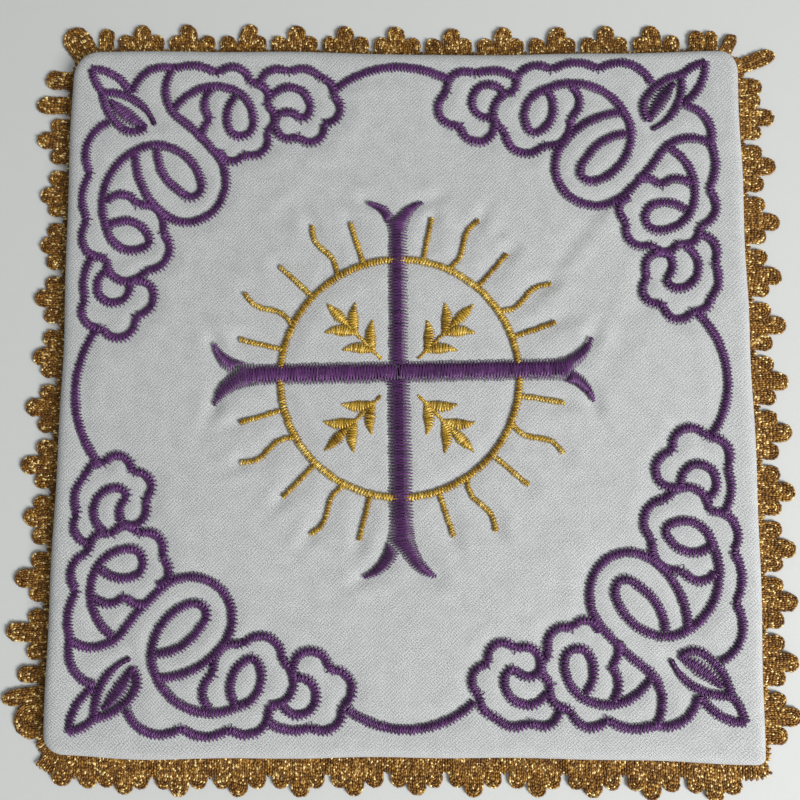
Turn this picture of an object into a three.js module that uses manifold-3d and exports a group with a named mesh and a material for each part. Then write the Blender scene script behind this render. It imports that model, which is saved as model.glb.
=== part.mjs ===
// A chalice pall: a stiffened square of white cloth with a rolled edge, gold braid sewn on all
// round, and a cross, a sunburst and four corner ornaments worked on its upper face.
// Millimetres, +X to the right, +Y to the back edge, +Z up. The pall lies on its flat underside.

import * as THREE from "three";
import { mergeVertices } from "three/addons/utils/BufferGeometryUtils.js";
import Module from "manifold-3d";

const wasm = await Module();
wasm.setup();

// Driving dimensions
const HALF_WIDTH = 80;
const DEPTH_RATIO = 1.027;
const HALF_DEPTH = HALF_WIDTH * DEPTH_RATIO;
const ROLL_RADIUS = 2.4;
const CROWN = 0.8;
const GAP = 0.3;
const RELIEF = 0.6;
const BAND_HALF = 1.05;
const LACE_THICK = 1.4;
const LACE_SEAT = 0.12;

const white = new THREE.MeshStandardMaterial({ color: 0xcfd3d6, roughness: 0.9 });
const gold = new THREE.MeshStandardMaterial({ color: 0xb8822f, roughness: 0.4, metalness: 0.6 });
const purple = new THREE.MeshStandardMaterial({ color: 0x5a3370, roughness: 0.6 });
const yellow = new THREE.MeshStandardMaterial({ color: 0xc9a233, roughness: 0.4, metalness: 0.4 });

const pall = new THREE.Group();

function addPiece(name, geometry, material) {
  const mesh = new THREE.Mesh(geometry, material);
  mesh.name = name;
  pall.add(mesh);
  return mesh;
}

// The corners of the cloth, clockwise from the back left, with the radius of each.
// turn counts the quarter turns to the right that carry the back left corner to this one.
// bud is the place of the bud's tip, and lean turns the ornament to the left about it, in radians.
const CORNERS = [
  { name: "back_left", turn: 0, side: [-1, 1], radius: 6.0, bud: [-76.0, 78.6], lean: 0 },
  { name: "back_right", turn: 1, side: [1, 1], radius: 5.0, bud: [72.0, 80.1], lean: 0.037 },
  { name: "front_right", turn: 2, side: [1, -1], radius: 1.8, bud: [77.0, -73.4], lean: 0.03 },
  { name: "front_left", turn: 3, side: [-1, -1], radius: 4.5, bud: [-75.0, -77.5], lean: 0.018 },
];

// Middle of the rounding of a corner
function roundingCentre(corner) {
  return new THREE.Vector2(
    corner.side[0] * (HALF_WIDTH - corner.radius),
    corner.side[1] * (HALF_DEPTH - corner.radius),
  );
}

// Upper face of the cloth: the height of the crown at a place
function topAt(x, y) {
  const u = x / HALF_WIDTH;
  const v = y / HALF_DEPTH;
  return 2 * ROLL_RADIUS + CROWN * (1 - u * u) * (1 - v * v);
}

// Cloth: rings of its outline, led over the rolled edge by one profile

const SIDE_STEPS = 5;
const ROUNDING_STEPS = 8;
const ROLL_STEPS = 3;
const INNER_RINGS = [0.86, 0.62, 0.34];

function clothOutline() {
  const points = [];
  CORNERS.forEach((corner, index) => {
    const centre = roundingCentre(corner);
    for (let step = 0; step <= ROUNDING_STEPS; step += 1) {
      const angle = Math.PI - (index + step / ROUNDING_STEPS) * Math.PI / 2;
      points.push(new THREE.Vector2(
        centre.x + corner.radius * Math.cos(angle),
        centre.y + corner.radius * Math.sin(angle),
      ));
    }
    const next = CORNERS[(index + 1) % CORNERS.length];
    const nextCentre = roundingCentre(next);
    const nextAngle = Math.PI - (index + 1) * Math.PI / 2;
    const start = points[points.length - 1].clone();
    const end = new THREE.Vector2(
      nextCentre.x + next.radius * Math.cos(nextAngle),
      nextCentre.y + next.radius * Math.sin(nextAngle),
    );
    for (let step = 1; step < SIDE_STEPS; step += 1) {
      points.push(start.clone().lerp(end, step / SIDE_STEPS));
    }
  });
  return points.reverse();
}

function clothProfile() {
  const edge = (angle) => ({
    scale: 1 - ROLL_RADIUS * (1 - Math.cos(angle)) / HALF_WIDTH,
    height: ROLL_RADIUS * (1 + Math.sin(angle)),
  });
  const profile = [{ scale: 0, height: 0 }];
  for (let step = -ROLL_STEPS; step <= ROLL_STEPS; step += 1) {
    profile.push(edge(step / ROLL_STEPS * Math.PI / 2));
  }
  INNER_RINGS.forEach((scale) => profile.push({ scale, crowned: true }));
  profile.push({ scale: 0, crowned: true });
  return profile;
}

function clothGeometry() {
  const outline = clothOutline();
  const profile = clothProfile();
  const rings = profile.map((ring, index) => new THREE.Vector2(ring.scale, index));
  const geometry = new THREE.LatheGeometry(rings, outline.length);
  const position = geometry.attributes.position;
  for (let index = 0; index < position.count; index += 1) {
    const ring = profile[index % profile.length];
    const column = Math.floor(index / profile.length) % outline.length;
    const place = outline[column];
    const x = place.x * ring.scale;
    const y = place.y * ring.scale;
    position.setXYZ(index, x, y, ring.crowned ? topAt(x, y) : ring.height);
  }
  geometry.deleteAttribute("normal");
  geometry.deleteAttribute("uv");
  return mergeVertices(geometry, 1e-4);
}

addPiece("pall_cloth", clothGeometry(), white);

// Solids and their meshes

const SIMPLE = 0.06;
const LACE_SIMPLE = 0.05;

function solidOf(geometry) {
  const bare = geometry.clone();
  bare.deleteAttribute("normal");
  bare.deleteAttribute("uv");
  const merged = mergeVertices(bare, 1e-4);
  return new wasm.Manifold(new wasm.Mesh({
    numProp: 3,
    vertProperties: new Float32Array(merged.attributes.position.array),
    triVerts: new Uint32Array(merged.index.array),
  }));
}

function geometryOf(solid) {
  const mesh = solid.getMesh();
  const geometry = new THREE.BufferGeometry();
  geometry.setAttribute("position", new THREE.BufferAttribute(mesh.vertProperties, 3));
  geometry.setIndex(new THREE.BufferAttribute(mesh.triVerts, 1));
  return geometry;
}

// Lace: one run of gold braid on each side, from one corner's diagonal to the next. Each run is a
// flat header along the cloth's edge, with tongues on it, single ones or three in a trefoil.

// Columns of a trefoil's tongues: place beside its middle, half width, lean outwards.
const TREFOIL = [
  [-3.3, 2.1, 0.1],
  [0, 2.15],
  [3.3, 2.1, -0.1],
];
const TONGUE = { root: 0.7, neck: 0.88, steps: 5 };

// Shares of a run at which its header is drawn, closer together round the corners
const HEADER_SHARES = [0, 0.01, 0.02, 0.03, 0.1, 0.2, 0.35, 0.5, 0.65, 0.8, 0.9, 0.97, 0.98, 0.99, 1];

// header: how far the flat of the braid shows beyond the cloth at the run's start, middle and end.
// Each run goes clockwise. side and tips are the reach of a trefoil's outer and middle tongues.
// Columns of singles: place along the run, half width, tip, lean, length of the tip's rounding.
const LACE_RUNS = [
  {
    name: "lace_back",
    header: [1.2, 1.2, 1.2],
    first: 13.9,
    last: 139.9,
    side: 5.4,
    tips: [7.9, 8.1, 8.3, 8.1, 8.0, 8.2, 7.9, 8.2, 8.1, 8.3, 8.0],
    wander: 1.1,
    singles: [
      [1.3, 3.4, 9.2, 0, 3.4],
      [5.4, 1.8, 6.9, 0, 1.8],
      [149.7, 2.0, 6.5, 0, 2.0],
      [153.2, 1.7, 6.3, 0, 1.7],
      [156.1, 1.6, 6.4, 0, 1.6],
    ],
  },
  {
    name: "lace_right",
    header: [1.9, 1.8, 1.7],
    first: 13.6,
    last: 154.1,
    side: 6.1,
    tips: [9.3, 9.1, 9.4, 9.2, 9.5, 9.2, 9.3, 9.4, 9.1, 9.3, 9.2, 9.4],
    wander: 2.3,
    singles: [
      [2.2, 1.9, 10.8, 0, 3.4],
      [6.3, 2.0, 6.5, 0, 2.0],
    ],
  },
  {
    name: "lace_front",
    header: [3.7, 3.9, 5.4],
    first: 9.5,
    last: 142.8,
    side: 7.3,
    tips: [9.1, 9.2, 9.0, 9.1, 9.3, 9.0, 9.1, 9.2, 9.1, 8.9, 8.6],
    wander: 4.2,
    singles: [
      [151.2, 2.3, 7.7, 0.06, 2.3],
      [155.6, 2.2, 7.6, -0.06, 2.2],
    ],
  },
  {
    name: "lace_left",
    header: [2.8, 1.7, 1.2],
    first: 25.3,
    last: 143.0,
    side: 5.9,
    tips: [10.9, 9.5, 8.1, 9.4, 9.1, 8.0, 8.3, 7.5, 7.9, 9.1],
    wander: 5.9,
    singles: [
      [5.9, 4.2, 8.1, 0, 4.6],
      [12.2, 1.9, 11.2, 0.15, 3.6],
      [16.2, 1.9, 7.8, 0, 1.9],
      [152.2, 2.2, 9.7, 0, 2.6],
      [157.8, 2.0, 7.7, 0, 2.0],
    ],
  },
];

function laceBase(index) {
  const from = CORNERS[index];
  const to = CORNERS[(index + 1) % CORNERS.length];
  const base = new THREE.Path();
  const facing = Math.PI / 2 - index * Math.PI / 2;
  const fromCentre = roundingCentre(from);
  const toCentre = roundingCentre(to);
  const fromRadius = from.radius + LACE_SEAT;
  const toRadius = to.radius + LACE_SEAT;
  const diagonal = Math.PI / 4;
  base.absarc(fromCentre.x, fromCentre.y, fromRadius, facing + diagonal, facing, true);
  base.absarc(toCentre.x, toCentre.y, toRadius, facing, facing - diagonal, true);
  return base;
}

// Reach of the header at a share of the run
function headerAt([start, middle, end], share) {
  const nearer = share < 0.5 ? start : end;
  return middle + (nearer - middle) * (1 - 2 * Math.min(share, 1 - share)) ** 2;
}

// Place beside a point of the base and out from it, in the straight frame of that point
function beside(base, share, aside, out) {
  const ahead = base.getTangentAt(share);
  return base.getPointAt(share).addScaledVector(ahead, aside).add(
    new THREE.Vector2(-ahead.y, ahead.x).multiplyScalar(out),
  );
}

const areaOf = (points) => new wasm.CrossSection([points.map((point) => [point.x, point.y])], "NonZero");

// Straight sides from a narrower neck, and a rounded tip
function tongueArea(base, along, [aside, half, tip, lean, rounding]) {
  const share = THREE.MathUtils.clamp(along / base.getLength(), 0, 1);
  const shoulder = tip - rounding;
  const outline = [[half * TONGUE.neck, TONGUE.root]];
  for (let step = 0; step <= TONGUE.steps; step += 1) {
    const angle = Math.PI * step / TONGUE.steps;
    outline.push([half * Math.cos(angle), shoulder + rounding * Math.sin(angle)]);
  }
  outline.push([-half * TONGUE.neck, TONGUE.root]);
  return areaOf(outline.map(([across, out]) => (
    beside(base, share, aside + across * Math.cos(lean) - out * Math.sin(lean), out)
  )));
}

function laceArea(index) {
  const run = LACE_RUNS[index];
  const base = laceBase(index);
  const last = run.tips.length - 1;
  const seam = HEADER_SHARES.map((share) => base.getPointAt(share));
  const rim = HEADER_SHARES.map((share) => beside(base, share, 0, headerAt(run.header, share)));
  const areas = [areaOf([...seam, ...rim.reverse()])];
  run.singles.forEach(([along, ...tongue]) => areas.push(tongueArea(base, along, [0, ...tongue])));
  run.tips.forEach((tip, turn) => {
    const along = THREE.MathUtils.lerp(run.first, run.last, turn / last);
    const sway = 0.12 * Math.sin(1.7 * turn + 2 * run.wander);
    TREFOIL.forEach(([aside, half, spread]) => {
      const tongue = aside === 0 ? [aside, half, tip, sway, half] : [aside, half, run.side, spread, half];
      areas.push(tongueArea(base, along, tongue));
    });
  });
  return areas.reduce((whole, area) => whole.add(area));
}

// Each run stops short of the next one, whose first tongues go round the corner
const LACE_AREAS = LACE_RUNS.map((_, index) => laceArea(index));
LACE_RUNS.forEach((run, index) => {
  const next = LACE_AREAS[(index + 1) % LACE_AREAS.length];
  const pieces = LACE_AREAS[index].subtract(next.offset(GAP, "Miter")).decompose();
  const kept = pieces.sort((a, b) => b.area() - a.area())[0];
  addPiece(run.name, geometryOf(kept.simplify(LACE_SIMPLE).extrude(LACE_THICK)), gold);
});

// Embroidery: each figure is a low relief that follows the crown of the cloth, a gap above it

function reliefOf(points) {
  const shape = new THREE.Shape(points);
  return solidOf(new THREE.ExtrudeGeometry(shape, { depth: RELIEF, bevelEnabled: false }));
}

const joined = (solids) => solids.reduce((whole, solid) => whole.add(solid));

function laidOnCloth(geometry) {
  const position = geometry.attributes.position;
  for (let index = 0; index < position.count; index += 1) {
    const x = position.getX(index);
    const y = position.getY(index);
    position.setZ(index, position.getZ(index) + topAt(x, y) + GAP);
  }
  return geometry;
}

function addFigure(name, solids, material) {
  addPiece(name, laidOnCloth(geometryOf(joined(solids).simplify(SIMPLE))), material);
}

// Outline of a band of stitching along a line of points, with blunt ends.
// widths gives the half width at each point.
function bandOutline(line, widths) {
  const left = [];
  const right = [];
  const last = line.length - 1;
  line.forEach((point, index) => {
    const before = line[Math.max(index - 1, 0)];
    const after = line[Math.min(index + 1, last)];
    const across = after.clone().sub(before).normalize().rotateAround(new THREE.Vector2(), Math.PI / 2);
    left.push(point.clone().addScaledVector(across, widths[index]));
    right.push(point.clone().addScaledVector(across, -widths[index]));
  });
  const cap = (point, neighbour, half) => {
    const out = point.clone().sub(neighbour).normalize();
    const side = out.clone().rotateAround(new THREE.Vector2(), Math.PI / 2);
    const tip = point.clone().addScaledVector(out, half * 0.85);
    return [
      tip.clone().addScaledVector(side, half * 0.5),
      tip.clone().addScaledVector(side, -half * 0.5),
    ];
  };
  const endCap = cap(line[last], line[last - 1], widths[last]);
  const startCap = cap(line[0], line[1], widths[0]);
  return [...left, ...endCap, ...right.reverse(), ...startCap];
}

// Points on an arc from one knot to the next. rise is its height above the chord, to the left.
function arcPoints(from, to, rise, turnPerStep = 0.85) {
  const chord = to.clone().sub(from);
  const half = chord.length() / 2;
  if (Math.abs(rise) < 0.01 * half) {
    return [from.clone(), to.clone()];
  }
  const left = new THREE.Vector2(-chord.y, chord.x).normalize();
  const radius = (half * half + rise * rise) / (2 * rise);
  const centre = from.clone().add(to).multiplyScalar(0.5).addScaledVector(left, rise - radius);
  const sweep = 4 * Math.atan2(rise, half);
  const steps = Math.max(2, Math.ceil(Math.abs(sweep) / turnPerStep));
  const points = [];
  for (let step = 0; step <= steps; step += 1) {
    points.push(from.clone().rotateAround(centre, -sweep * step / steps));
  }
  return points;
}

function band(points, halfWidth = BAND_HALF, taper = 1) {
  const widths = points.map((_, index) => (
    THREE.MathUtils.lerp(halfWidth, halfWidth * taper, index / (points.length - 1))
  ));
  return reliefOf(bandOutline(points, widths));
}

// Leaf between two tips, widest in the middle
function leaf(from, to, halfWidth, rise = 0) {
  const steps = 3;
  const curve = new THREE.QuadraticBezierCurve(
    from,
    from.clone().lerp(to, 0.5).addScaledVector(
      new THREE.Vector2(from.y - to.y, to.x - from.x).normalize(), 2 * rise),
    to,
  );
  const line = curve.getPoints(steps);
  const widths = line.map((_, index) => (
    halfWidth * (0.16 + 0.84 * Math.sin(Math.PI * index / steps))
  ));
  return reliefOf(bandOutline(line, widths));
}

// Corner ornament, drawn from the tip of its bud: u runs along one edge, v along the other.
// Each band passes its knots on arcs. Columns: u, v, rise of the arc to the next knot.
const BANDS = {
  budTop: [[0.9, 0.7, 1.5], [10.4, 6.3, 0]],
  budSide: [[0.9, 0.7, -0.5], [3.8, 6.5, 0]],
  budCup: [[3.8, 6.5, -0.9], [8, 14.4, -1.4], [14.4, 14.9, 0]],
  rose: [
    [10.9, 6.5, 2.7], [20.8, 0.7, 1.4], [31.2, 2, 2.8], [39.3, 4.3, 0], [41.3, 4.7, 1.5],
    [43.2, 9.8, 2.1], [43.4, 15.9, 2.9], [38.2, 21.3, 2.3], [32.2, 20.4, 0],
  ],
  roseArch: [[21.2, 10.3, 2.0], [33, 5.2, 1.9], [40.2, 13, 0]],
  roseDrop: [[40.2, 13, 3.7], [34, 14, 0.9], [35.8, 7.4, 0]],
  roseFold: [[29.8, 5.8, -1.6], [30, 13, -1.0], [28.2, 18.4, 0]],
  posy: [
    [41.5, 4.4, 2.2], [48.2, 1.8, 1.7], [56.2, 3.3, 1.4], [59, 7.5, 3.0], [57, 14.1, 3.1],
    [51, 17.2, 2.8], [45.7, 12.4, 0],
  ],
  posyHeart: [[44.1, 8, 3.7], [53.8, 10, 0.8], [51.6, 13.3, -1.5], [45.6, 12.3, 0]],
  ribbon: [
    [20.5, 0.5, -2.1], [21.5, 12, 0.4], [30.5, 20.2, 2.0], [33.2, 32, 3.5], [19.5, 35.6, 2.0],
    [12.3, 20.6, 0],
  ],
  loop: [[6, 38.6, 5.4], [16.3, 19.1, 2.8], [28.4, 28.6, 0]],
  loopDrop: [[28.4, 28.6, 2.2], [23.5, 30.4, 1.6], [17.4, 20.3, 0]],
  bloom: [[5.6, 32.6, 2.2], [13.1, 33.4, 2.8], [19.3, 39.9, 3.6], [15.7, 48.7, 4.0], [6.3, 46, 0]],
  bloomHeart: [[6, 38.6, 3.3], [16.6, 42.4, 3.4], [6, 38.6, 0]],
  side: [[5.6, 13.6, -3.2], [1.7, 26, -1.8], [1.5, 37, -2.1], [3, 45.4, 0], [6.3, 46, 0]],
  blossom: [
    [3, 45.4, -1.3], [1.7, 55.4, -2.8], [5.9, 62, -3.8], [13.7, 59.2, -3.3], [15.6, 51.3, 0],
    [12.6, 51, 0],
  ],
  blossomHeart: [[7.2, 48.4, -6.9], [12.2, 51.4, 0]],
};
const SHARP_TURN = 0.95;
const BUD = { root: [3.8, 6.5], bladeTip: [16.6, 14.4], heart: [[6.4, 8.7], [14.6, 14.8]] };

// v grows inwards from the edge, so it is drawn towards -Y
const flat = ([u, v]) => new THREE.Vector2(u, -v);

// Smooth stretches of a band, parted where it turns sharply
function stretches(knots) {
  const lines = [];
  for (let index = 0; index < knots.length - 1; index += 1) {
    const line = arcPoints(flat(knots[index]), flat(knots[index + 1]), knots[index][2]);
    const before = lines[lines.length - 1];
    const heading = (from, to) => to.clone().sub(from).angle();
    const turned = before
      && heading(before[before.length - 2], before[before.length - 1]) - heading(line[0], line[1]);
    if (before && Math.cos(turned) > Math.cos(SHARP_TURN)) {
      before.push(...line.slice(1));
    } else {
      lines.push(line);
    }
  }
  return lines;
}

function cornerFigure() {
  const solids = [];
  Object.values(BANDS).forEach((knots) => {
    stretches(knots).forEach((line) => solids.push(band(line)));
  });
  solids.push(band(arcPoints(flat(BUD.root), flat(BUD.bladeTip), 2.6), BAND_HALF, 0.45));
  solids.push(leaf(flat(BUD.heart[0]), flat(BUD.heart[1]), 1.6));
  return geometryOf(joined(solids).simplify(SIMPLE));
}

// The ornament is turned to its corner, then stretched with the depth of the cloth
function cornerAt(figure, corner) {
  const geometry = figure.clone();
  geometry.rotateZ(corner.lean - corner.turn * Math.PI / 2);
  geometry.scale(1, DEPTH_RATIO, 1);
  geometry.translate(corner.bud[0], corner.bud[1], 0);
  return laidOnCloth(geometry);
}

const ornament = cornerFigure();
CORNERS.forEach((corner) => addPiece(`corner_${corner.name}`, cornerAt(ornament, corner), purple));

// Arcs between the corner ornaments, each from its left end to its right end seen from inside
const BORDER_ARCS = [
  { name: "arc_back", from: [-13.4, 74.6], to: [7.4, 76.1], rise: 2.9 },
  { name: "arc_right", from: [69.9, 14.6], to: [72.4, -4.8], rise: 2.9 },
  { name: "arc_front", from: [13.2, -71.4], to: [-6.4, -73.2], rise: 2.9 },
  { name: "arc_left", from: [-72.9, -11.3], to: [-73.2, 11.3], rise: 2.8 },
];

BORDER_ARCS.forEach((arc) => {
  const line = arcPoints(new THREE.Vector2(...arc.from), new THREE.Vector2(...arc.to), arc.rise, 0.25);
  addFigure(arc.name, [band(line)], purple);
});

// Cross: four arms, each ending in two horns with a notch between them.
// half is half the arm's width, horn the length of its horns, left and right their spread, notch the
// depth of the notch, aside how far to the left it lies, and lean turns the arm to the left, in radians.
const CROSS = { x: -1, y: 4.8, blunt: 0.9 };
const ARMS = [
  {
    facing: 90, length: 40.4, half: 2.4, horn: 7.5, left: 7.2, right: 6.3,
    notch: 3.6, aside: 0.7, lean: 0.012,
  },
  {
    facing: 0, length: 45, half: 2.1, horn: 9.3, left: 7.6, right: 8,
    notch: 4.9, aside: 0, lean: 0.022,
  },
  {
    facing: 270, length: 47, half: 2.4, horn: 11.8, left: 8, right: 9,
    notch: 6, aside: -0.5, lean: 0.025,
  },
  {
    facing: 180, length: 43, half: 2.1, horn: 10.5, left: 7.4, right: 7.6,
    notch: 3.9, aside: -0.5, lean: 0.022,
  },
];

function armSolid(arm) {
  const angle = THREE.MathUtils.degToRad(arm.facing) + arm.lean;
  const forward = new THREE.Vector2(Math.cos(angle), Math.sin(angle));
  const left = new THREE.Vector2(-forward.y, forward.x);
  const at = (along, across) => (
    new THREE.Vector2(CROSS.x, CROSS.y).addScaledVector(forward, along).addScaledVector(left, across)
  );
  const flare = at(arm.length - arm.horn, 0);
  const notch = at(arm.length - arm.notch, arm.aside);
  const side = (reach, half) => {
    const outside = new THREE.QuadraticBezierCurve(
      flare.clone().addScaledVector(left, half),
      at(arm.length - arm.horn * 0.36, half * 1.25),
      at(arm.length - CROSS.blunt, reach),
    );
    const inside = new THREE.QuadraticBezierCurve(
      at(arm.length, reach * 0.93),
      at(arm.length - arm.notch * 0.12, reach * 0.3),
      notch,
    );
    return [outside, inside];
  };
  const [leftOuter, leftInner] = side(arm.left, arm.half);
  const [rightOuter, rightInner] = side(-arm.right, -arm.half);
  const steps = 4;
  const outline = [
    at(0, -arm.half),
    ...rightOuter.getPoints(steps),
    ...rightInner.getPoints(steps),
    ...leftInner.getPoints(steps).reverse().slice(1),
    ...leftOuter.getPoints(steps).reverse(),
    at(0, arm.half),
  ];
  return reliefOf(outline);
}

addFigure("cross", ARMS.map(armSolid), purple);

// Sunburst: in each quarter a stretch of the ring and five rays, straight and wavy in turn
const RING = { x: -0.7, y: 3.6, radius: 27.5, half: 0.95 };
const RAY = { straight: 38.2, wavy: 41.2, half: 0.75, wave: 0.95, drift: 1.5, steps: 8 };
// Where the two wavy rays of a quarter leave the ring, aside from their line
const WAVE_STARTS = { 1: 0.3, 3: -1.1 };
const QUARTERS = [
  { name: "back_left", first: 107.9, pitch: 14.75, from: 90, to: 180 },
  { name: "front_left", first: 196.1, pitch: 15.1, from: 180, to: 270 },
  { name: "front_right", first: 289.0, pitch: 15.6, from: 270, to: 360 },
  { name: "back_right", first: 19.8, pitch: 14.8, from: 0, to: 90 },
];

function ringPlace(radius, angle, aside = 0) {
  return new THREE.Vector2(
    RING.x + radius * Math.cos(angle) + aside * Math.sin(angle),
    RING.y + radius * Math.sin(angle) - aside * Math.cos(angle),
  );
}

function rayLine(angle, ray) {
  const wavy = ray in WAVE_STARTS;
  const steps = wavy ? RAY.steps : 1;
  const tip = wavy ? RAY.wavy : RAY.straight;
  const line = [];
  for (let step = 0; step <= steps; step += 1) {
    const t = step / steps;
    const wave = RAY.drift * t + RAY.wave * Math.sin(2 * Math.PI * t);
    const aside = wavy ? WAVE_STARTS[ray] + wave : 0;
    line.push(ringPlace(THREE.MathUtils.lerp(RING.radius, tip, t), angle, aside));
  }
  return line;
}

// The room that the cross keeps free: its arms widened by the gap
function crossRoom() {
  const reach = 60;
  return joined(ARMS.map((arm) => {
    const box = new THREE.BoxGeometry(reach, 2 * (arm.half + GAP), 4 * RELIEF);
    box.translate(reach / 2, 0, 0);
    box.rotateZ(THREE.MathUtils.degToRad(arm.facing) + arm.lean);
    box.translate(CROSS.x, CROSS.y, 0);
    return solidOf(box);
  }));
}

QUARTERS.forEach((quarter) => {
  const ringLine = [];
  const ringSteps = 12;
  const first = THREE.MathUtils.degToRad(quarter.from);
  const last = THREE.MathUtils.degToRad(quarter.to);
  for (let step = 0; step <= ringSteps; step += 1) {
    ringLine.push(ringPlace(RING.radius, THREE.MathUtils.lerp(first, last, step / ringSteps)));
  }
  const solids = [band(ringLine, RING.half)];
  for (let ray = 0; ray < 5; ray += 1) {
    const angle = THREE.MathUtils.degToRad(quarter.first + ray * quarter.pitch);
    solids.push(band(rayLine(angle, ray), RAY.half));
  }
  const whole = joined(solids).subtract(crossRoom());
  const kept = whole.decompose().sort((a, b) => b.volume() - a.volume())[0];
  addFigure(`sunburst_${quarter.name}`, [kept], yellow);
});

// Sprig in each quarter of the ring: a bent stem with leaves in pairs and one at its tip
const SPRIG = { root: 6, tip: 16.5, leafLength: 7.5, leafHalf: 1.6, spread: 0.72, stemHalf: 0.6 };
const SPRIG_PAIRS = [0.2, 0.75];

QUARTERS.forEach((quarter) => {
  const angle = THREE.MathUtils.degToRad((quarter.from + quarter.to) / 2);
  const place = (radius) => ringPlace(radius, angle);
  const solids = [band([place(SPRIG.root), place(SPRIG.tip)], SPRIG.stemHalf)];
  SPRIG_PAIRS.forEach((t) => {
    const node = place(THREE.MathUtils.lerp(SPRIG.root, SPRIG.tip, t));
    [-1, 1].forEach((hand) => {
      const tip = node.clone().add(new THREE.Vector2(
        SPRIG.leafLength * Math.cos(angle + hand * SPRIG.spread),
        SPRIG.leafLength * Math.sin(angle + hand * SPRIG.spread),
      ));
      solids.push(leaf(node, tip, SPRIG.leafHalf, -0.4 * hand));
    });
  });
  const lastLeaf = place(SPRIG.tip + SPRIG.leafLength);
  solids.push(leaf(place(SPRIG.tip), lastLeaf, SPRIG.leafHalf));
  addFigure(`sprig_${quarter.name}`, solids, yellow);
});

// The origin stands in the middle of the whole part, lace included
const box = new THREE.Box3().setFromObject(pall);
const middle = box.getCenter(new THREE.Vector3());
pall.position.set(-middle.x, -middle.y, 0);

export default pall;
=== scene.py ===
"""A chalice pall: white cloth with a rolled edge, gold lace, and purple and gold satin stitch.

The drawing tables are in millimetres from the middle of the cloth, +X to the right and +Y to the
head of the cross. Blender's own lengths are in metres.
"""

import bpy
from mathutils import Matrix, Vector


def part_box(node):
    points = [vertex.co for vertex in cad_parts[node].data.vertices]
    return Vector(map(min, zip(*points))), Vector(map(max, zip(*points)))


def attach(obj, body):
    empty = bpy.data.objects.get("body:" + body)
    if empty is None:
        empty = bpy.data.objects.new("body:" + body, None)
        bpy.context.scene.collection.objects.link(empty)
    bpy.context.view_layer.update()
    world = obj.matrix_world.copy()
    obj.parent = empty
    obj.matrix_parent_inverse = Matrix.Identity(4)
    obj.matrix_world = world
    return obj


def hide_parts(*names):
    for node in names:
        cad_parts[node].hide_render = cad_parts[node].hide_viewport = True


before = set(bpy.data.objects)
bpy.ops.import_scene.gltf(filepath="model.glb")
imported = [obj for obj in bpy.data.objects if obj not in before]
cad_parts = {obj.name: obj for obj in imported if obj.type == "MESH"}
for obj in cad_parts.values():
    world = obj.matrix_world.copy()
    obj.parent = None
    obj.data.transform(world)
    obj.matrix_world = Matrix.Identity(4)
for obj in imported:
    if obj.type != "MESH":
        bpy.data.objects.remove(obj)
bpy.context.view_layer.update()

import math

import bpy
import numpy as np
from bpy.props import FloatProperty, FloatVectorProperty, PointerProperty
from mathutils import Matrix, Vector
from mathutils.kdtree import KDTree

bl_info = {
    "name": "Chalice pall",
    "version": (1, 0, 0),
    "blender": (4, 5, 0),
    "location": "3D View > Sidebar > Pall",
    "description": "Makes the cloth, lace and embroidery of a chalice pall round its frame",
    "category": "Object",
}

MM = 0.001

# The cloth's size comes from the frame. ROLL is the radius of its rolled edge, CROWN the rise of its
# upper face towards the middle.
LOW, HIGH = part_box("pall_cloth")
MIDDLE = (LOW + HIGH) / 2
HALF_WIDTH = (HIGH.x - LOW.x) / 2 / MM
HALF_DEPTH = (HIGH.y - LOW.y) / 2 / MM
DEPTH_RATIO = HALF_DEPTH / HALF_WIDTH
ROLL = 2.4
CROWN = (HIGH.z - LOW.z) / MM - 2 * ROLL
SEED = 11

# The corners of the cloth, clockwise from the back left: the sides of the middle that they lie on, the
# radius of their rounding, and for the ornament the quarter turns to the right, the place of the bud's
# tip and the lean to the left, in radians.
CORNERS = [
    {"name": "back_left", "turn": 0, "side": (-1, 1), "radius": 6.0, "bud": (-76, 78.6), "lean": 0},
    {"name": "back_right", "turn": 1, "side": (1, 1), "radius": 5.0, "bud": (72, 80.1), "lean": 0.037},
    {"name": "front_right", "turn": 2, "side": (1, -1), "radius": 1.8, "bud": (77, -73.4), "lean": 0.03},
    {"name": "front_left", "turn": 3, "side": (-1, -1), "radius": 4.5, "bud": (-75, -77.5), "lean": 0.018},
]


# Settings that a user would change


class PallClothSettings(bpy.types.PropertyGroup):
    cell: FloatProperty(
        name="Cell", description="Size of one cell of the cloth's mesh",
        default=0.9 * MM, min=0.4 * MM, max=4 * MM, unit="LENGTH",
    )
    twill: FloatProperty(
        name="Twill pitch", description="Distance between two diagonal ribs of the weave",
        default=0.50 * MM, min=0.2 * MM, max=2 * MM, unit="LENGTH",
    )
    pull: FloatProperty(
        name="Pull of the stitching", description="How far a band of stitching draws the cloth down",
        default=0.28 * MM, min=0, max=MM, unit="LENGTH",
    )
    colour: FloatVectorProperty(
        name="Cloth", description="Colour of the cloth",
        default=(0.541, 0.548, 0.543), min=0, max=1, subtype="COLOR",
    )


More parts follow.
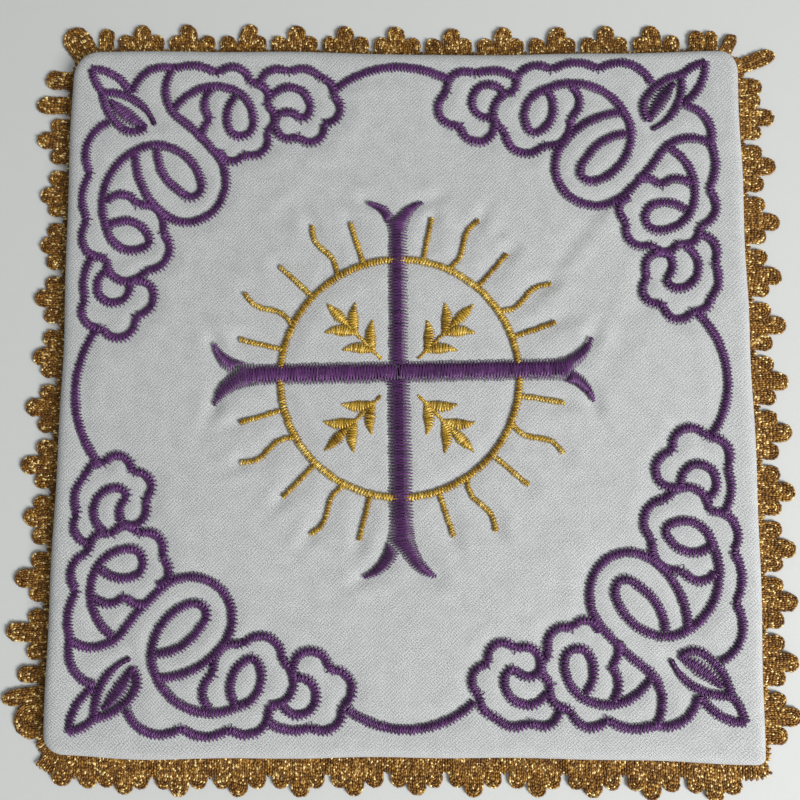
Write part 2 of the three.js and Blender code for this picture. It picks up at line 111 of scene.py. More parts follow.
class PallStitchSettings(bpy.types.PropertyGroup):
    band: FloatProperty(
        name="Band width", description="Width of a purple band of satin stitch",
        default=2.5 * MM, min=MM, max=4 * MM, unit="LENGTH",
    )
    tooth: FloatProperty(
        name="Tooth pitch", description="Distance between two needle holes on one edge of a band",
        default=0.80 * MM, min=0.4 * MM, max=2 * MM, unit="LENGTH",
    )
    thread: FloatProperty(
        name="Thread width", description="Width of one stitch of purple thread",
        default=0.36 * MM, min=0.2 * MM, max=MM, unit="LENGTH",
    )
    # The thread's tone runs from deep purple to purple; its light end is partly painted sheen, set by each
    # stitch's direction
    purple: FloatVectorProperty(
        name="Purple", description="Colour of the purple thread in the light",
        default=(0.150, 0.044, 0.185), min=0, max=1, subtype="COLOR",
    )
    purple_deep: FloatVectorProperty(
        name="Deep purple", description="Colour of the purple thread where it is darkest",
        default=(0.042, 0.014, 0.055), min=0, max=1, subtype="COLOR",
    )
    # The thread's tone runs from deep gold to gold; its light end is partly painted sheen, set by each
    # stitch's direction
    gold: FloatVectorProperty(
        name="Yellow gold", description="Colour of the gold thread",
        default=(0.74, 0.47, 0.045), min=0, max=1, subtype="COLOR",
    )
    gold_deep: FloatVectorProperty(
        name="Deep gold", description="Colour of the gold thread where it is darkest",
        default=(0.17, 0.075, 0.006), min=0, max=1, subtype="COLOR",
    )


class PallLaceSettings(bpy.types.PropertyGroup):
    yarn: FloatProperty(
        name="Yarn", description="Thickness of the metallic yarn",
        default=0.5 * MM, min=0.2 * MM, max=MM, unit="LENGTH",
    )
    bronze: FloatVectorProperty(
        name="Bronze", description="Colour of most of the yarn",
        default=(0.33, 0.150, 0.018), min=0, max=1, subtype="COLOR",
    )
    bronze_deep: FloatVectorProperty(
        name="Deep bronze", description="Colour of the yarn where it is darkest",
        default=(0.120, 0.048, 0.008), min=0, max=1, subtype="COLOR",
    )
    # The glints are painted: highlights put into the yarn's colour
    glint: FloatVectorProperty(
        name="Glint", description="Colour of the bright flecks of foil",
        default=(1.0, 0.80, 0.36), min=0, max=1, subtype="COLOR",
    )


class PallStageSettings(bpy.types.PropertyGroup):
    key: FloatProperty(
        name="Key light", description="Strength of the light from the front right", default=11.8, min=0,
    )
    fill: FloatProperty(
        name="Fill light", description="Strength of the soft light from above", default=0.6, min=0,
    )
    sky: FloatProperty(
        name="Sky", description="Strength of the light from all round", default=0.24, min=0,
    )
    floor: FloatVectorProperty(
        name="Floor", description="Colour of the floor",
        default=(0.66, 0.67, 0.65), min=0, max=1, subtype="COLOR",
    )


# Shader maths


class Value:
    """A socket of a material's node tree. Python's operators on it add Math nodes."""

    def __init__(self, paint, socket):
        self.paint = paint
        self.socket = socket

    def __add__(self, other):
        return self.paint.maths("ADD", self, other)

    def __sub__(self, other):
        return self.paint.maths("SUBTRACT", self, other)

    def __rsub__(self, other):
        return self.paint.maths("SUBTRACT", other, self)

    def __mul__(self, other):
        return self.paint.maths("MULTIPLY", self, other)


class Paint:
    """One material, with the few ways in which its nodes are added."""

    def __init__(self, name):
        self.material = bpy.data.materials.new(name)
        self.material.use_nodes = True
        self.tree = self.material.node_tree
        self.tree.nodes.clear()

    def node(self, kind, settings=None, inputs=None, output=0):
        """Adds a node: its settings first, then the values or links of its sockets."""
        made = self.tree.nodes.new("ShaderNode" + kind)
        for key, value in (settings or {}).items():
            setattr(made, key, value)
        for key, value in (inputs or {}).items():
            if isinstance(value, Value):
                self.tree.links.new(value.socket, made.inputs[key])
            else:
                made.inputs[key].default_value = value
        return Value(self, made.outputs[output]) if made.outputs else None

    def maths(self, operation, *values):
        return self.node("Math", {"operation": operation}, dict(enumerate(values)))

    def held(self, value, low, high):
        """A value from low to high, brought to 0 to 1 and held there."""
        return self.node("MapRange", {"interpolation_type": "SMOOTHSTEP"}, {0: value, 1: low, 2: high})

    def mixed(self, first, second, share):
        """A colour between two others."""
        sockets = {0: share, 6: first, 7: second}
        sockets = {key: v if isinstance(v, Value) or key == 0 else (*v, 1) for key, v in sockets.items()}
        return self.node("Mix", {"data_type": "RGBA"}, sockets, 2)

    def attribute(self, name):
        """A value that the mesh keeps at each point."""
        return self.node("Attribute", {"attribute_name": name}, output=2)

    def places(self):
        """Object coordinates, in metres."""
        return self.node("TexCoord", output=3)

    def bump(self, height, strength, distance):
        inputs = {"Strength": strength, "Distance": distance, "Height": height}
        return self.node("Bump", inputs=inputs)

    def noise(self, vector, scale, detail=2.0):
        return self.node("TexNoise", inputs={"Vector": vector, "Scale": scale, "Detail": detail})

    def surface(self, **inputs):
        """Ends the tree in the one surface shader, named by its sockets."""
        sockets = {name.replace("_", " "): value for name, value in inputs.items()}
        shader = self.node("BsdfPrincipled", inputs=sockets)
        self.node("OutputMaterial", inputs={"Surface": shader})
        return self.material


# Colour of the lighter stretches of yarn, and painted gleams: highlights put into the colour of the purple
# and the gold threads
WARM_BRONZE = (0.52, 0.28, 0.045)
PAINTED_PURPLE_GLEAM = (0.27, 0.11, 0.32)
PAINTED_GOLD_GLEAM = (1.0, 0.83, 0.30)

# Millimetres in one unit of the weave's map
WEAVE_UNIT = 10
# Lightest and darkest tone of the weave, as shares of the cloth's colour
WEAVE_LIGHT = 1.28
WEAVE_DARK = 0.60


def cloth_material(settings):
    """Fine white twill: slanting ribs, the picks that cross them, and grain and slubs in the yarn."""
    paint = Paint("white_twill")
    weave = paint.node("UVMap", {"uv_map": "weave"})
    parts = paint.node("SeparateXYZ", inputs={0: weave})
    across, down = parts, Value(paint, parts.socket.node.outputs[1])
    wander = paint.noise(weave, 9.0, 3.0) * 1.6
    turns = 2 * math.pi * WEAVE_UNIT * MM / settings.twill
    rib = paint.maths("SINE", (across + down) * (turns / math.sqrt(2)) + wander)
    pick = paint.maths("SINE", (across - down) * (turns / 2) + wander)
    grain = paint.noise(weave, 46.0, 2.0)
    slub = paint.noise(weave, 3.2, 3.0)
    height = rib * 0.30 + pick * 0.16 + grain * 1.5
    shade = rib * 0.17 + pick * 0.10 + (grain - 0.5) * 3.4 + (slub - 0.5) * 0.4 + 0.54
    light = tuple(min(1.0, WEAVE_LIGHT * c) for c in settings.colour)
    dark = tuple(WEAVE_DARK * c for c in settings.colour)
    return paint.surface(
        Base_Color=paint.mixed(dark, light, paint.held(shade, 0.0, 1.0)),
        Roughness=0.78,
        Normal=paint.bump(height, 0.6, 0.14 * MM),
        Sheen_Weight=0.12,
        Sheen_Roughness=0.45,
    )


def thread_material(name, deep, bright, gleam, metallic, sparkle):
    """Satin thread: each stitch has its own tone, random and with painted sheen by its direction, mottled
    by fine fibres and by broader patches, darker towards its ends as painted shade, and with painted
    gleams. A larger sparkle makes more of it gleam."""
    paint = Paint(name)
    tone = paint.attribute("tone")
    along = paint.attribute("along")
    places = paint.places()
    fibre = paint.noise(places, 4200.0, 1.0)
    patch = paint.noise(places, 160.0, 2.0)
    ends = along * along
    # Painted shade: each stitch darkens towards its ends, where it dips into the cloth
    level = tone * 0.8 + (fibre - 0.5) * 1.1 + (patch - 0.5) * 0.6 + 0.16 - ends * ends * 0.2
    colour = paint.mixed(deep, bright, paint.held(level, 0.0, 1.0))
    # Painted gleam: bright specks of the gleam colour where the fibres would catch the light, none at the
    # stitch ends
    painted_gleam = paint.held(fibre * 0.6 + tone * 0.4, 1.0 - sparkle, 1.08 - sparkle) * (1 - ends)
    colour = paint.mixed(colour, gleam, painted_gleam * 0.9)
    bump = paint.bump(fibre, 0.35, 0.06 * MM)
    return paint.surface(Base_Color=colour, Roughness=0.36, Metallic=metallic, Normal=bump)


def purple_material(settings):
    """The purple thread of all the figures, made once."""
    made = bpy.data.materials.get("purple_satin")
    return made or thread_material(
        "purple_satin", tuple(settings.purple_deep), tuple(settings.purple), PAINTED_PURPLE_GLEAM,
        metallic=0.25, sparkle=0.34,
    )


def gold_material(settings):
    """The gold thread of all the figures, made once."""
    made = bpy.data.materials.get("gold_satin")
    return made or thread_material(
        "gold_satin", tuple(settings.gold_deep), tuple(settings.gold), PAINTED_GOLD_GLEAM,
        metallic=0.35, sparkle=0.42,
    )


def lace_material(settings):
    """Foil-wrapped yarn: dark bronze with many small painted glints, and painted shade at the ends of its
    stitches.
    """
    paint = Paint("foil_yarn")
    tone = paint.attribute("tone")
    along = paint.attribute("along")
    places = paint.places()
    foil = paint.noise(places, 1900.0, 1.0)
    coarse = paint.noise(places, 520.0, 2.0)
    ends = along * along
    # Painted shade: the yarn darkens towards the ends of each stitch, where it dips under the next
    level = tone * 0.75 + (foil - 0.5) * 1.3 + (coarse - 0.5) * 0.6 + 0.08 - ends * 0.2
    colour = paint.mixed(tuple(settings.bronze_deep), tuple(settings.bronze), paint.held(level, 0.0, 0.7))
    colour = paint.mixed(colour, WARM_BRONZE, paint.held(level, 0.45, 0.8))
    # Painted glints: bright specks of foil colour where the yarn would catch the light
    glint = paint.held(tone * 0.5 + foil * 0.75, 0.77, 0.84) * (1 - ends * 0.5)
    colour = paint.mixed(colour, tuple(settings.glint), glint)
    bump = paint.bump(foil, 0.5, 0.10 * MM)
    roughness = 0.5 - glint * 0.2
    return paint.surface(Base_Color=colour, Roughness=roughness, Metallic=0.35, Normal=bump)


def floor_material(settings):
    """Plain pale board with a faint tooth."""
    paint = Paint("pale_board")
    tooth = paint.noise(paint.places(), 400.0, 3.0)
    colour = paint.mixed(tuple(0.97 * c for c in settings.floor), tuple(settings.floor), tooth)
    return paint.surface(Base_Color=colour, Roughness=0.7)


# Drawing in the plane, in millimetres


def turned(points, angle):
    """Points turned to the left about the origin."""
    cos, sin = math.cos(angle), math.sin(angle)
    points = np.asarray(points, float)
    return np.stack([points[..., 0] * cos - points[..., 1] * sin,
                     points[..., 0] * sin + points[..., 1] * cos], axis=-1)


def arc_points(start, end, rise, step=0.25):
    """Points on an arc between two places. rise is its height above the chord, to the left."""
    start, end = np.asarray(start, float), np.asarray(end, float)
    chord = end - start
    half = np.hypot(*chord) / 2
    if abs(rise) < 0.01 * half:
        count = max(2, math.ceil(2 * half / step))
        return start + chord * np.linspace(0, 1, count + 1)[:, None]
    left = np.array([-chord[1], chord[0]]) / (2 * half)
    radius = (half * half + rise * rise) / (2 * rise)
    centre = (start + end) / 2 + left * (rise - radius)
    sweep = 4 * math.atan2(rise, half)
    count = max(3, math.ceil(abs(radius * sweep) / step))
    return np.array([centre + turned(start - centre, -sweep * k / count) for k in range(count + 1)])


def bezier_points(start, bend, end, count=24):
    """Points on a curve that leaves its start towards the bend and reaches its end from there."""
    t = np.linspace(0, 1, count + 1)[:, None]
    start, bend, end = (np.asarray(p, float) for p in (start, bend, end))
    return (1 - t) ** 2 * start + 2 * t * (1 - t) * bend + t * t * end


def through(knots):
    """A line through knots, each given with the rise of the arc to the next."""
    line = [np.array([knots[0][:2]], float)]
    for here, there in zip(knots, knots[1:]):
        line.append(arc_points(here[:2], there[:2], here[2])[1:])
    return np.concatenate(line)


def lengths(line):
    """Length of a line up to each of its points."""
    return np.concatenate([[0], np.cumsum(np.hypot(*np.diff(line, axis=0).T))])


def at_length(line, places):
    """Points of a line at given lengths along it."""
    run = lengths(line)
    return np.column_stack([np.interp(places, run, line[:, axis]) for axis in (0, 1)])


def bell(distance, half):
    """1 in the middle, falling off smoothly on both sides."""
    return np.exp(-((distance / half) ** 2))


def even(half):
    """Half widths of a band that is equally wide all along."""
    return [(0, half, half), (1, half, half)]


# The shape of the upper face


RIPPLES = [
    # length of the wave, its direction in degrees, height
    (61.0, 20, 0.10),
    (43.0, 110, 0.08),
    (27.0, 65, 0.05),
    (19.0, 150, 0.035),
]
CREASES = [
    # from, to, half width, depth
    ((50, 47), (30, 20), 2.6, 0.34),
    ((62, 30), (47, 3), 4.0, 0.16),
    ((-32, 41), (-21, 50), 3.0, 0.18),
    ((-62, 6), (-50, -12), 4.0, 0.12),
    ((20, -52), (44, -34), 5.0, 0.14),
    ((-40, -36), (-26, -52), 3.6, 0.14),
]
# A crease rises on one side of its line and sinks on the other, by 0.43 of this times its depth
CREASE_RISE = 1.6
# Width of the strip inside the rolled edge in which the waves die out
CALM_STRIP = 8


def crown_at(x, y):
    """Height of the plain crowned face."""
    u, v = x / HALF_WIDTH, y / HALF_DEPTH
    return 2 * ROLL + CROWN * (1 - u * u) * (1 - v * v)


def swell_at(x, y):
    """The slow waves and the long soft creases of the cloth."""
    height = np.zeros_like(x)
    for wave, facing, size in RIPPLES:
        angle = math.radians(facing)
        run = x * math.cos(angle) + y * math.sin(angle)
        height += size * np.sin(2 * math.pi * run / wave + facing)
    for start, end, half, depth in CREASES:
        start, end = np.array(start, float), np.array(end, float)
        length = np.hypot(*(end - start))
        ahead = (end - start) / length
        run = ((x - start[0]) * ahead[0] + (y - start[1]) * ahead[1]) / length
        aside = ((y - start[1]) * ahead[0] - (x - start[0]) * ahead[1]) / half
        fade = bell(np.clip(np.abs(run - 0.5) - 0.3, 0, None), 0.2)
        height += depth * CREASE_RISE * aside * np.exp(-aside * aside) * fade
    return height


def edge_fade(x, y):
    """1 over the middle of the face, 0 at the rolled edge."""
    inset = np.minimum(HALF_WIDTH - np.abs(x), HALF_DEPTH - np.abs(y)) - ROLL
    return np.clip(inset / CALM_STRIP, 0, 1)


def face_at(x, y):
    """Height of the upper face before the stitching draws it in."""
    return crown_at(x, y) + swell_at(x, y) * edge_fade(x, y)


# Threads


def deselect():
    bpy.ops.object.select_all(action="DESELECT")


# Share of its thickness that a stitch loses towards each end, and where along its half that begins
POINTED = 0.55
TAPER_FROM = 0.5
# Power with which the arch of a stitch falls off towards its ends
ARCH_POWER = 2.4
# A plain stitch and a finer one: sides of its section, and the places where it is cut across
PLAIN = (4, (-0.5, 0.5))
FINE = (5, (-0.72, -0.36, 0.36, 0.72))
# Length that is added to another one, so that no stitch is divided by zero
TINY = 1e-9


def one_stitch(name, sides, cuts):
    """One stitch along X, 2 long and 1 thick, pinched at its ends. Gives its points and its faces."""
    deselect()
    bpy.ops.mesh.primitive_cylinder_add(
        vertices=sides, radius=0.5, depth=2, rotation=(0, math.pi / 2, 0),
    )
    made = bpy.context.object
    made.name = name
    bpy.ops.object.transform_apply(location=False, rotation=True, scale=False)
    bpy.ops.object.mode_set(mode="EDIT")
    for cut in cuts:
        bpy.ops.mesh.select_all(action="SELECT")
        bpy.ops.mesh.bisect(plane_co=(cut, 0, 0), plane_no=(1, 0, 0))
    bpy.ops.object.mode_set(mode="OBJECT")
    for vertex in made.data.vertices:
        pinch = 1 - POINTED * max(0, (abs(vertex.co.x) - TAPER_FROM) / (1 - TAPER_FROM))
        vertex.co.y *= pinch
        vertex.co.z *= pinch
    points = np.array([vertex.co for vertex in made.data.vertices])
    faces = [tuple(face.vertices) for face in made.data.polygons]
    bpy.data.objects.remove(made)
    return points, faces


class Skein:
    """Stitches of one colour, gathered before they are made one mesh."""

    def __init__(self, seed):
        self.rows = []
        self.draws = np.random.default_rng(SEED + seed)

    def add(self, starts, ends, width, thick, rise, tone):
        """Stitches between two lists of places. rise is the height of the arch between them."""
        count = len(starts)
        columns = [np.broadcast_to(np.asarray(c, float), count) for c in (width, thick, rise, tone)]
        self.rows.append(np.column_stack([starts, ends, *columns]))

    def placed(self, points):
        """The points of every stitch, in metres."""
        rows = np.concatenate(self.rows)
        start, end = rows[:, 0:3], rows[:, 3:6]
        width, thick, rise = (rows[:, k, None] for k in range(6, 9))
        middle, half = (start + end) / 2, (end - start) / 2
        level = np.hypot(half[:, 0], half[:, 1])[:, None] + TINY
        ahead = half[:, :2] / level
        along, across, up = points.T
        x = middle[:, 0:1] + half[:, 0:1] * along - ahead[:, 1:2] * across * width
        y = middle[:, 1:2] + half[:, 1:2] * along + ahead[:, 0:1] * across * width
        arch = 1 - np.abs(along) ** ARCH_POWER
        z = middle[:, 2:3] + half[:, 2:3] * along + up * thick + arch * rise
        places = np.stack([x, y, z], axis=-1).reshape(-1, 3) * MM
        return places + (MIDDLE.x, MIDDLE.y, LOW.z)

    def joined(self, name, stitch):
        """One mesh of all the stitches, with the tone of each and the place along it."""
        points, faces = stitch
        tone = np.concatenate(self.rows)[:, 9]
        turns = np.arange(len(tone))[:, None]
        sizes = [len(face) for face in faces]
        corners = np.concatenate(faces)
        loops = (corners + turns * len(points)).ravel()
        first = np.cumsum([0, *sizes[:-1]])
        firsts = (first + turns * len(corners)).ravel()
        mesh = bpy.data.meshes.new(name)
        mesh.vertices.add(len(points) * len(tone))
        mesh.vertices.foreach_set("co", self.placed(points).ravel())
        mesh.loops.add(len(loops))
        mesh.loops.foreach_set("vertex_index", loops)
        mesh.polygons.add(len(firsts))
        mesh.polygons.foreach_set("loop_start", firsts)
        mesh.polygons.foreach_set("use_smooth", np.ones(len(firsts), bool))
        mesh.update(calc_edges=True)
        values = {"tone": np.repeat(tone, len(points)), "along": np.tile(points[:, 0], len(tone))}
        for label, value in values.items():
            layer = mesh.attributes.new(label, "FLOAT", "POINT")
            layer.data.foreach_set("value", value)
        mesh.validate()
        piece = bpy.data.objects.new(name, mesh)
        bpy.context.scene.collection.objects.link(piece)
        return piece


# Stitches that lie in this direction get a lighter tone: painted sheen, where such threads would catch the
# light best
PAINTED_SHEEN = (0.5, 0.866)
# Satin stitches: thickness, depth of their ends in the cloth, and rise of the arch between them, which
# grows with the length of the stitch up to a limit
STITCH = {"thick": 0.30, "sunk": 0.12, "rise": 0.16, "growth": 0.15, "limit": 0.62}
# Underlay: pitch, overlap at each end, height above the cloth, thickness and rise
UNDERLAY = {"pitch": 1.1, "overlap": 0.15, "lift": 0.1, "thick": 0.5, "rise": 0.06}
# How far ahead and behind the direction of a line is read
LOOK = 0.7
# Tooth pitch and thread width of each figure, as shares of the settings
GAUGES = {
    "corner": (1, 1), "arc": (1, 1), "cross": (0.9, 0.85), "sunburst": (0.86, 0.9), "sprig": (0.72, 0.9),
}
# Width of the underlay of a purple band, of the ring and of a ray
BAND_UNDER = 1.25
RING_UNDER = 1.0
RAY_UNDER = 0.8


def on_face(places, height):
    """Places in the plane, raised to a height above the face."""
    return np.column_stack([places, face_at(places[:, 0], places[:, 1]) + height])


def zigzag(skein, edge, width, settle):
    """Stitches from each needle hole to the next. settle lifts them off the cloth."""
    starts, ends = edge[:-1], edge[1:]
    count = len(starts)
    long = np.hypot(*(ends - starts).T)
    sunk = STITCH["sunk"]
    lift = np.minimum(STITCH["rise"] + STITCH["growth"] * long, STITCH["limit"]) + sunk
    # Painted sheen: a lighter tone for stitches that lie along the sheen direction
    painted_sheen = ((ends - starts) @ PAINTED_SHEEN / (long + TINY)) ** 2
    tone = 0.72 * skein.draws.beta(2.2, 2.2, count) + 0.34 * painted_sheen
    widths = width * skein.draws.uniform(0.85, 1.15, count)
    starts, ends = (on_face(places, settle - sunk) for places in (starts, ends))
    skein.add(starts, ends, widths, STITCH["thick"], lift, tone)


def underlay(skein, line, width, settle):
    """Broad underlay stitches along a line, that its satin stitches cover. Their darkest tone is painted
    shade in the gaps between the satin stitches.
    """
    run = lengths(line)[-1]
    count = max(1, math.ceil(run / UNDERLAY["pitch"]))
    places = np.linspace(0, run, count + 1)
    starts = at_length(line, places[:-1] - UNDERLAY["overlap"])
    ends = at_length(line, places[1:] + UNDERLAY["overlap"])
    starts, ends = (on_face(places, settle + UNDERLAY["lift"]) for places in (starts, ends))
    # Tone 0: the darkest colour, painted shade between the satin stitches
    skein.add(starts, ends, width, UNDERLAY["thick"], UNDERLAY["rise"], 0.0)


def satin(skein, line, half, tooth, width, settle=0.0, ragged=0.13, under=0.0):
    """Zigzag stitches across a line. half is the half width, as places along the line from 0 to 1 with
    the reach to the left and to the right at each. under is the width of the underlay."""
    if under:
        underlay(skein, line, under, settle)
    run = lengths(line)[-1]
    count = max(3, round(2 * run / tooth))
    places = np.linspace(0, run, count + 1)
    middle = at_length(line, places)
    behind, ahead = (at_length(line, np.clip(places + shift, 0, run)) for shift in (-LOOK, LOOK))
    ahead = ahead - behind
    ahead /= np.hypot(*ahead.T)[:, None]
    left = np.column_stack([-ahead[:, 1], ahead[:, 0]])
    stops, left_half, right_half = (np.array(column, float) for column in zip(*half))
    share = places / run
    jitter = skein.draws.uniform(-ragged, ragged, (2, count + 1))
    reach = np.where(
        np.arange(count + 1) % 2 == 0,
        np.interp(share, stops, left_half) + jitter[0],
        -np.interp(share, stops, right_half) - jitter[1],
    )
    zigzag(skein, middle + left * reach[:, None], width, settle)


def ladder(skein, rails, tooth, width, settle=0.0, ragged=0.16):
    """Zigzag stitches between pairs of lines, one pair after the other, each from hole to hole."""
    sides = ([], [])
    for pair in rails:
        count = math.ceil(2 * max(lengths(line)[-1] for line in pair) / tooth)
        share = (np.arange(count) + 0.5) / count
        for side, line in zip(sides, pair):
            side.append(at_length(line, share * lengths(line)[-1]))
    first, second = (np.concatenate(side) for side in sides)
    across = second - first
    across /= np.hypot(*across.T)[:, None] + TINY
    jitter = skein.draws.uniform(-ragged, ragged, (len(first), 1))
    odd = (np.arange(len(first)) % 2 == 1)[:, None]
    edge = np.where(odd, second + across * jitter, first - across * jitter)
    zigzag(skein, edge, width, settle)


def dressed(piece, nodes, material):
    """A finished piece gets its material, and takes the place of its nodes in the frame."""
    piece.data.materials.append(material)
    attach(piece, "root")
    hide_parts(*nodes)


def sewn(skein, stitch, node, material):
    """The gathered stitches become the piece that stands for one node."""
    dressed(skein.joined(node + "_stitches", stitch), [node], material)


def gauge(settings, figure):
    """Tooth pitch and thread width of a figure, in millimetres."""
    tooth, width = GAUGES[figure]
    return tooth * settings.tooth / MM, width * settings.thread / MM


# Corner ornament, drawn from the tip of its bud: u runs along one edge, v inwards from it.
# Each band passes its knots on arcs. Columns: u, v, rise of the arc to the next knot.
BANDS = {
    "bud_top": [(0.9, 0.7, 1.5), (10.4, 6.3, 0)],
    "bud_side": [(0.9, 0.7, -0.5), (3.8, 6.5, 0)],
    "bud_cup": [(3.8, 6.5, -0.9), (8, 14.4, -1.4), (14.4, 14.9, 0)],
    "rose": [
        (10.9, 6.5, 2.7), (20.8, 0.7, 1.4), (31.2, 2, 2.8), (39.3, 4.3, 0), (41.3, 4.7, 1.5),
        (43.2, 9.8, 2.1), (43.4, 15.9, 2.9), (38.2, 21.3, 2.3), (32.2, 20.4, 0),
    ],
    "rose_arch": [(21.2, 10.3, 2.0), (33, 5.2, 1.9), (40.2, 13, 0)],
    "rose_drop": [(40.2, 13, 3.7), (34, 14, 0.9), (35.8, 7.4, 0)],
    "rose_fold": [(29.8, 5.8, -1.6), (30, 13, -1.0), (28.2, 18.4, 0)],
    "posy": [
        (41.5, 4.4, 2.2), (48.2, 1.8, 1.7), (56.2, 3.3, 1.4), (59, 7.5, 3.0), (57, 14.1, 3.1),
        (51, 17.2, 2.8), (45.7, 12.4, 0),
    ],
    "posy_heart": [(44.1, 8, 3.7), (53.8, 10, 0.8), (51.6, 13.3, -1.5), (45.6, 12.3, 0)],
    "ribbon": [
        (20.5, 0.5, -2.1), (21.5, 12, 0.4), (30.5, 20.2, 2.0), (33.2, 32, 3.5), (19.5, 35.6, 2.0),
        (12.3, 20.6, 0),
    ],
    "loop": [(6, 38.6, 5.4), (16.3, 19.1, 2.8), (28.4, 28.6, 0)],
    "loop_drop": [(28.4, 28.6, 2.2), (23.5, 30.4, 1.6), (17.4, 20.3, 0)],
    "bloom": [(5.6, 32.6, 2.2), (13.1, 33.4, 2.8), (19.3, 39.9, 3.6), (15.7, 48.7, 4.0), (6.3, 46, 0)],
    "bloom_heart": [(6, 38.6, 3.3), (16.6, 42.4, 3.4), (6, 38.6, 0)],
    "side": [(5.6, 13.6, -3.2), (1.7, 26, -1.8), (1.5, 37, -2.1), (3, 45.4, 0), (6.3, 46, 0)],
    "blossom": [
        (3, 45.4, -1.3), (1.7, 55.4, -2.8), (5.9, 62, -3.8), (13.7, 59.2, -3.3), (15.6, 51.3, 0),
        (12.6, 51, 0),
    ],
    "blossom_heart": [(7.2, 48.4, -6.9), (12.2, 51.4, 0)],
}
BLADE = [(3.8, 6.5, 2.6), (16.6, 14.4, 0)]
HEART = [(5.6, 8.2, -0.6), (14.8, 14.9, 0)]
# Half widths of the bud's heart. Columns: share of its length, reach to the left and to the right.
HEART_REACH = [(0, 0.5, 0.5), (0.25, 1.6, 1.6), (0.55, 2.1, 1.9), (0.85, 1.3, 1.2), (1, 0.5, 0.5)]
# Where the blade begins to narrow, and half the width of its tip
BLADE_NARROWS = 0.6
BLADE_TIP = 0.3
# Bands that meet lie at one of four heights, this far apart
LAYERS = 4
LAYER = 0.03


def flat(knots):
    """v grows inwards from the edge, so it is drawn towards -Y."""
    return [(u, -v, rise) for u, v, rise in knots]


def in_corner(line, corner):
    """A line of the ornament, turned to its corner and stretched with the depth of the cloth."""
    line = turned(line, corner["lean"] - corner["turn"] * math.pi / 2)
    return line * (1, DEPTH_RATIO) + corner["bud"]


def ornament_lines():
    """Every band of the ornament, in the order in which they are sewn."""
    lines = {name: through(flat(knots)) for name, knots in BANDS.items()}
    lines["blade"] = through(flat(BLADE))
    lines["heart"] = through(flat(HEART))
    return lines


# Arcs between the corner ornaments, and their lift above the cloth. Columns: the two ends, rise.
BORDER_ARCS = {
    "arc_back": ((-16.5, 72.4), (11, 74.5), 4.6),
    "arc_right": ((68.0, 18.5), (70.5, -9.2), 5.1),
    "arc_front": ((16.5, -68.8), (-11.8, -70.9), 5.2),
    "arc_left": ((-69.8, -16.6), (-71.5, 14.4), 5.2),
}
ARC_SETTLE = 0.05

# Cross: four arms, each ending in two horns with a notch between them. half is half the arm's width,
# under the width of its underlay, horn the length of its horns, notch the depth of the notch, aside how
# far to the left of the arm's middle it lies, reach the spread of the left and the right horn. lean
# turns the arm to the left, in radians, and main is the side of the horn that its stitches run on into.
CROSS = (-1.0, 4.8)
BLUNT = 0.9
ARMS = [
    {"facing": 90, "length": 40.4, "half": 2.3, "under": 1.9, "horn": 7.5, "notch": 3.6, "aside": 0.7,
     "reach": (7.2, 6.3), "lean": 0.012, "main": -1},
    {"facing": 0, "length": 45.0, "half": 2.5, "under": 3.2, "horn": 9.3, "notch": 4.9, "aside": 0.0,
     "reach": (7.6, 8.0), "lean": 0.022, "main": 1},
    {"facing": 270, "length": 47.0, "half": 2.8, "under": 1.9, "horn": 11.8, "notch": 6.0, "aside": -0.5,
     "reach": (8.0, 9.0), "lean": 0.025, "main": 1},
    {"facing": 180, "length": 43.0, "half": 2.5, "under": 3.2, "horn": 10.5, "notch": 3.9, "aside": -0.5,
     "reach": (7.4, 7.6), "lean": 0.022, "main": 1},
]

# Bends of a horn's two edges. The outer one bends at a share of the horn's length before its tip, and
# swell times half the arm's width aside. The inner one bends at shares of the notch's depth before the tip
# and of the reach aside, and ends at a share of the reach.
HORN = {"bend": 0.36, "swell": 1.25, "dip": 0.12, "dip_aside": 0.3, "tip": 0.93}
# An arm's underlay runs on into its horns by this much, and theirs is this wide
CORE_OVER = 2
HORN_UNDER = 1.5
# Lift of the upright arms, and of the level ones that lie over them, above the cloth
UPRIGHT_SETTLE = 0.1
LEVEL_SETTLE = 0.2
# The upright arms begin this far from the middle, under the level ones
UPRIGHT_START = 1.7
# The level arms have a layer of stitches under the first: its inset on each side as a share of the arm's
# width, its tooth pitch as a share of the first one's, and how much lower it lies
INNER = {"inset": 0.12, "tooth": 0.87, "drop": 0.08}

# Sunburst: the ring, and the rays of each quarter, straight and wavy in turn. straight and wavy are how far
# the rays reach from the ring's middle. A wavy one swings aside by wave, and drifts by drift up to its tip.
# first is the angle of a quarter's first ray, pitch the angle between two, from and to its stretch of ring.
RING = (-0.7, 3.6)
RING_RADIUS = 27.5
RING_HALF = 0.98
RING_SETTLE = 0.06
RAYS_EACH = 5
RAYS = {"straight": 38.2, "wavy": 41.2, "half": 0.72, "wave": 0.95, "drift": 1.5}
# Where the two wavy rays of a quarter leave the ring, aside from their line
WAVE_STARTS = {1: 0.3, 3: -1.1}
QUARTERS = [
    {"name": "back_left", "first": 107.9, "pitch": 14.75, "from": 90, "to": 180},
    {"name": "front_left", "first": 196.1, "pitch": 15.1, "from": 180, "to": 270},
    {"name": "front_right", "first": 289.0, "pitch": 15.6, "from": 270, "to": 360},
    {"name": "back_right", "first": 19.8, "pitch": 14.8, "from": 0, "to": 90},
]
# Sprig: its stem from root to tip, as distances from the middle of the ring, the length and half width
# of a leaf, the angle between leaf and stem, and the places of the two pairs along the stem
SPRIG = {"root": 6, "tip": 16.5, "leaf": 7.5, "leaf_half": 1.6, "spread": 0.72, "pairs": (0.2, 0.75)}
STEM_HALF = 0.55
